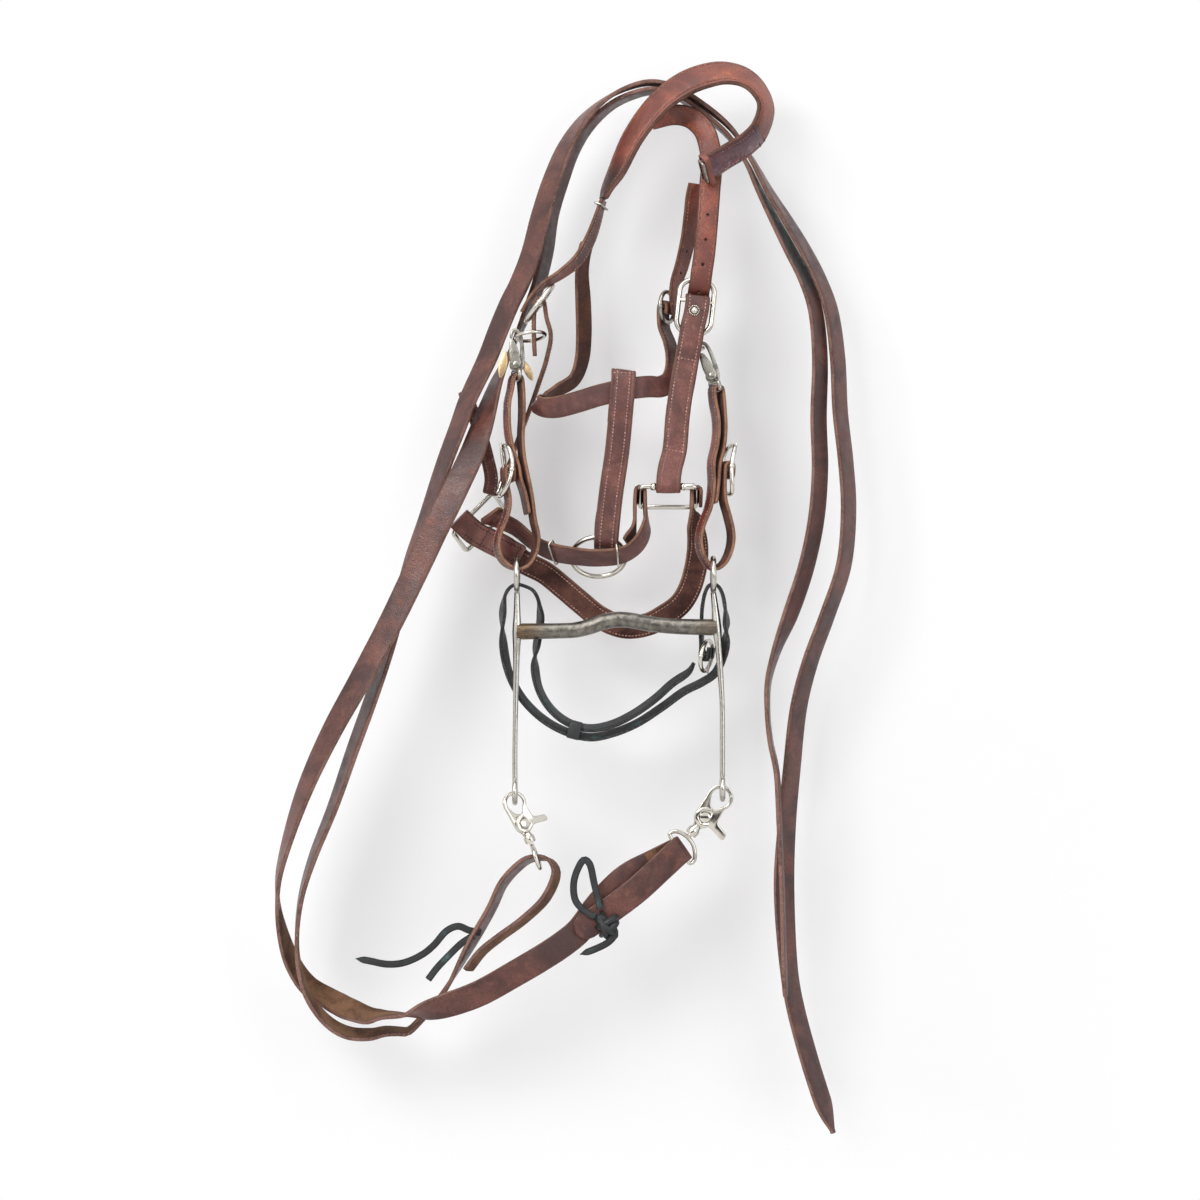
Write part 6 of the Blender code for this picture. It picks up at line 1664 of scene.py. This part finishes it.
def stage_materials():
    """Matte white paint for wall and floor, and a dark card that the metal mirrors."""
    tree = new_tree("matte_white_wall")
    spots = add(tree, "split", add(tree, "places").outputs["Object"]).outputs
    # The wall goes over to plain white away from the object, and its back lets light through
    sideways = add(tree, "unsigned", add(tree, "minus", spots["X"], VIEW_CENTRE.x))
    upward = add(tree, "unsigned", add(tree, "minus", spots["Z"], VIEW_CENTRE.z))
    share = add(tree, "larger", add(tree, "ramp", sideways, 0.20, 0.43, 0.34, 1.0),
                add(tree, "ramp", upward, 0.30, 0.44))
    paint = add(tree, "surface", {"Base Color": "#f0f1f4", "Roughness": 0.95, "Specular IOR Level": 0.0})
    front = add(tree, "blend", share, paint, add(tree, "ShaderNodeEmission", "#ffffff", 1.0))
    back = add(tree, "ShaderNodeNewGeometry").outputs["Backfacing"]
    add(tree, "result", add(tree, "blend", back, front, add(tree, "ShaderNodeBsdfTransparent")))
    tree = new_tree("matte_white_floor")
    add(tree, "result", add(tree, "surface", {"Base Color": "#efeeec", "Roughness": 0.9}))
    tree = new_tree("dark_card")
    card = add(tree, "surface", {"Base Color": "#2b2826"})
    seen = add(tree, "rays").outputs["Is Camera Ray"]
    add(tree, "result", add(tree, "blend", seen, card, add(tree, "ShaderNodeBsdfTransparent")))


def make_stage():
    """A pale wall behind, a floor below, soft lamps, and the camera at the photograph's place."""
    stage_materials()
    half = STAGE_HALF
    wall = sheet("wall", [(x, WALL_DEPTH, z + VIEW_CENTRE.z) for x, z in
                          ((-half, half), (-half, -half), (half, -half), (half, half))], "matte_white_wall")
    floor = sheet("floor", [(x, y, FLOOR_HEIGHT) for x, y in
                            ((-half, -4), (half, -4), (half, WALL_DEPTH), (-half, WALL_DEPTH))],
                  "matte_white_floor")
    # Below and behind the camera, so that metal has dark lower halves; the camera looks through it
    card = sheet("card", [(x, -2.9, z) for x, z in
                          ((-1.3, -0.85), (1.3, -0.85), (1.3, -0.25), (-1.3, -0.25))], "dark_card")
    for name, spot, size, power, tint in (("key", (-1.3, -2.0, 0.9), 1.3, 46.0, "#fffdfa"),
                                          ("fill", (1.7, -2.3, 0.1), 1.6, 13.0, "#f8faff"),
                                          ("top", (-0.2, -0.9, 1.6), 1.2, 13.0, "#ffffff")):
        lamp = bpy.data.lights.new(name, "AREA")
        lamp.shape = "SQUARE"
        lamp.size = size
        lamp.energy = power
        lamp.color = linear(tint)[:3]
        holder = link(name, lamp)
        holder.location = spot
        holder.rotation_euler = (VIEW_CENTRE - Vector(spot)).to_track_quat("-Z", "Y").to_euler()
    world = bpy.data.worlds.new("studio")
    bpy.context.scene.world = world
    world.use_nodes = True
    tree = world.node_tree
    tree.nodes.clear()
    rays = add(tree, "rays").outputs
    mirrored = add(tree, "larger", rays["Is Glossy Ray"], rays["Is Transmission Ray"])
    plain = add(tree, "larger", rays["Is Camera Ray"], mirrored)
    lit = add(tree, "ShaderNodeBackground", "#dcdad8", 0.42)
    seen = add(tree, "ShaderNodeBackground", "#ffffff", 1.0)
    add(tree, "ShaderNodeOutputWorld", add(tree, "blend", plain, lit, seen))
    lens = bpy.data.cameras.new("camera")
    lens.sensor_width = SENSOR
    lens.lens = SENSOR * VIEW_DISTANCE / VIEW_WIDTH
    lens.clip_end = 20.0
    camera = link("camera", lens)
    camera.location = VIEW_CENTRE - Vector((0, VIEW_DISTANCE, 0))
    camera.rotation_euler = (math.pi / 2, 0, 0)
    bpy.context.scene.camera = camera
    bpy.context.scene.view_settings.view_transform = "Standard"


# The add-on


def length_property(name, default, description):
    return bpy.props.FloatProperty(name=name, description=description, default=default, min=0.0005, max=0.1,
                                   unit="LENGTH", subtype="DISTANCE", precision=4)


def colour_property(name, code, description):
    return bpy.props.FloatVectorProperty(name=name, description=description, default=linear(code)[:3], size=3,
                                         min=0.0, max=1.0, subtype="COLOR")


class BridleSizes(bpy.types.PropertyGroup):
    crown_width: length_property("Crown Width", 0.025, "Width of the padded crown")
    halter_width: length_property("Halter Width", 0.0175, "Width of the right cheek strap and the jaw strap")
    side_width: length_property("Side Width", 0.015, "Width of the left side strap")
    billet_width: length_property("Billet Width", 0.0155, "Width of the billets and the head strap")
    throat_width: length_property("Throat Width", 0.0155, "Width of the throat strap")
    chin_width: length_property("Chin Width", 0.0185, "Width of the chin strap")
    nose_width: length_property("Nose Width", 0.0175, "Width of the noseband")
    hanger_width: length_property("Hanger Width", 0.014, "Width of the two bit hangers")
    rein_width: length_property("Rein Width", 0.019, "Width of the reins")
    curb_width: length_property("Curb Width", 0.011, "Width of the curb strap")
    lace_width: length_property("Lace Width", 0.005, "Width of the tie laces")
    stitch_spacing: length_property("Stitch Spacing", 0.0024, "From one stitch to the next")
    stitch_length: length_property("Stitch Length", 0.0019, "Length of one stitch")


class BridleColours(bpy.types.PropertyGroup):
    chestnut: colour_property("Chestnut", "#985240", "Crown and head strap")
    lining: colour_property("Lining", "#74474c", "Smooth lining on the crown's right end")
    harness: colour_property("Harness", "#7b4a42", "Cheeks, nose and chin straps")
    rein: colour_property("Rein", "#6b3f36", "Reins")
    curb: colour_property("Curb", "#2b2d30", "Curb strap and laces")
    stitching: colour_property("Stitching", "#c9a294", "Thread of the light stitches")
    nickel: colour_property("Nickel", "#cfcbc2", "Plated buckles, rings and snaps")
    steel: colour_property("Steel", "#c2bfb8", "Shanks of the bit")


class PieceOperator:
    """What the operators share: each can be undone in one step."""
    bl_options = {"REGISTER", "UNDO"}


class BRIDLE_OT_materials(PieceOperator, bpy.types.Operator):
    """Makes the leathers, threads and metals"""
    bl_idname = "bridle.materials"
    bl_label = "Materials"

    def execute(self, context):
        make_materials()
        return {"FINISHED"}


class BRIDLE_OT_crown(PieceOperator, bpy.types.Operator):
    """Makes the padded crown with its keeper, and the head strap"""
    bl_idname = "bridle.crown"
    bl_label = "Crown"

    def execute(self, context):
        make_crown()
        return {"FINISHED"}


class BRIDLE_OT_left_cheek(PieceOperator, bpy.types.Operator):
    """Makes the left billet, buckle, side strap and tab"""
    bl_idname = "bridle.left_cheek"
    bl_label = "Left Cheek"

    def execute(self, context):
        make_left_cheek()
        return {"FINISHED"}


class BRIDLE_OT_throat(PieceOperator, bpy.types.Operator):
    """Makes the throat strap, its billet and buckle, and the jaw strap"""
    bl_idname = "bridle.throat"
    bl_label = "Throat and Jaw"

    def execute(self, context):
        make_throat_and_jaw()
        return {"FINISHED"}


class BRIDLE_OT_right_cheek(PieceOperator, bpy.types.Operator):
    """Makes the front buckle, the doubled cheek strap and its rivet"""
    bl_idname = "bridle.right_cheek"
    bl_label = "Right Cheek"

    def execute(self, context):
        make_right_cheek()
        return {"FINISHED"}


class BRIDLE_OT_squares(PieceOperator, bpy.types.Operator):
    """Makes the two square rings"""
    bl_idname = "bridle.squares"
    bl_label = "Square Rings"

    def execute(self, context):
        make_squares()
        return {"FINISHED"}


class BRIDLE_OT_chin(PieceOperator, bpy.types.Operator):
    """Makes the chin strap, its ring and its two staples"""
    bl_idname = "bridle.chin"
    bl_label = "Chin Strap"

    def execute(self, context):
        make_chin()
        return {"FINISHED"}


class BRIDLE_OT_noseband(PieceOperator, bpy.types.Operator):
    """Makes the noseband"""
    bl_idname = "bridle.noseband"
    bl_label = "Noseband"

    def execute(self, context):
        make_noseband()
        return {"FINISHED"}


class BRIDLE_OT_halter_rings(PieceOperator, bpy.types.Operator):
    """Makes the two rings that the snaps hook into"""
    bl_idname = "bridle.halter_rings"
    bl_label = "Halter Rings"

    def execute(self, context):
        make_halter_rings()
        return {"FINISHED"}


class BRIDLE_OT_hangers(PieceOperator, bpy.types.Operator):
    """Makes the bit hangers with their snaps and buckles"""
    bl_idname = "bridle.hangers"
    bl_label = "Hangers"

    def execute(self, context):
        make_hangers()
        return {"FINISHED"}


class BRIDLE_OT_bit(PieceOperator, bpy.types.Operator):
    """Makes the two shanks and the mouthpiece"""
    bl_idname = "bridle.bit"
    bl_label = "Bit"

    def execute(self, context):
        make_bit()
        return {"FINISHED"}


class BRIDLE_OT_curb(PieceOperator, bpy.types.Operator):
    """Makes the curb strap with its keeper and buckle"""
    bl_idname = "bridle.curb"
    bl_label = "Curb Strap"

    def execute(self, context):
        make_curb()
        return {"FINISHED"}


class BRIDLE_OT_reins(PieceOperator, bpy.types.Operator):
    """Makes the two reins"""
    bl_idname = "bridle.reins"
    bl_label = "Reins"

    def execute(self, context):
        make_reins()
        return {"FINISHED"}


class BRIDLE_OT_laces(PieceOperator, bpy.types.Operator):
    """Makes the tie laces and the knot"""
    bl_idname = "bridle.laces"
    bl_label = "Laces"

    def execute(self, context):
        make_laces()
        return {"FINISHED"}


class BRIDLE_OT_rein_snaps(PieceOperator, bpy.types.Operator):
    """Makes the two swivel snaps"""
    bl_idname = "bridle.rein_snaps"
    bl_label = "Rein Snaps"

    def execute(self, context):
        make_rein_snaps()
        return {"FINISHED"}


class BRIDLE_OT_stitches(PieceOperator, bpy.types.Operator):
    """Makes the stitches of all straps"""
    bl_idname = "bridle.stitches"
    bl_label = "Stitches"

    def execute(self, context):
        make_stitches()
        return {"FINISHED"}


class BRIDLE_OT_stage(PieceOperator, bpy.types.Operator):
    """Makes the wall, floor, lamps and camera"""
    bl_idname = "bridle.stage"
    bl_label = "Stage"

    def execute(self, context):
        make_stage()
        return {"FINISHED"}


STEPS = [BRIDLE_OT_materials, BRIDLE_OT_crown, BRIDLE_OT_left_cheek, BRIDLE_OT_throat,
         BRIDLE_OT_right_cheek, BRIDLE_OT_squares, BRIDLE_OT_chin, BRIDLE_OT_noseband,
         BRIDLE_OT_halter_rings, BRIDLE_OT_hangers, BRIDLE_OT_bit, BRIDLE_OT_curb, BRIDLE_OT_reins,
         BRIDLE_OT_laces, BRIDLE_OT_rein_snaps, BRIDLE_OT_stitches, BRIDLE_OT_stage]


class BRIDLE_PT_panel(bpy.types.Panel):
    """Lists the pieces of the bridle in the 3D view's sidebar."""
    bl_label = "Bridle"
    bl_idname = "BRIDLE_PT_panel"
    bl_space_type = "VIEW_3D"
    bl_region_type = "UI"
    bl_category = "Bridle"

    def draw(self, context):
        for step in STEPS:
            self.layout.operator(step.bl_idname)
        for group in (context.scene.bridle_sizes, context.scene.bridle_colours):
            column = self.layout.column()
            for name in group.bl_rna.properties.keys():
                if name not in ("rna_type", "name"):
                    column.prop(group, name)


CLASSES = [BridleSizes, BridleColours, *STEPS, BRIDLE_PT_panel]


def register():
    for kind in CLASSES:
        bpy.utils.register_class(kind)
    bpy.types.Scene.bridle_sizes = bpy.props.PointerProperty(type=BridleSizes)
    bpy.types.Scene.bridle_colours = bpy.props.PointerProperty(type=BridleColours)


def unregister():
    del bpy.types.Scene.bridle_colours
    del bpy.types.Scene.bridle_sizes
    for kind in reversed(CLASSES):
        bpy.utils.unregister_class(kind)


def main():
    register()
    for step in STEPS:
        group, name = step.bl_idname.split(".")
        getattr(getattr(bpy.ops, group), name)()


if __name__ == "__main__":
    main()
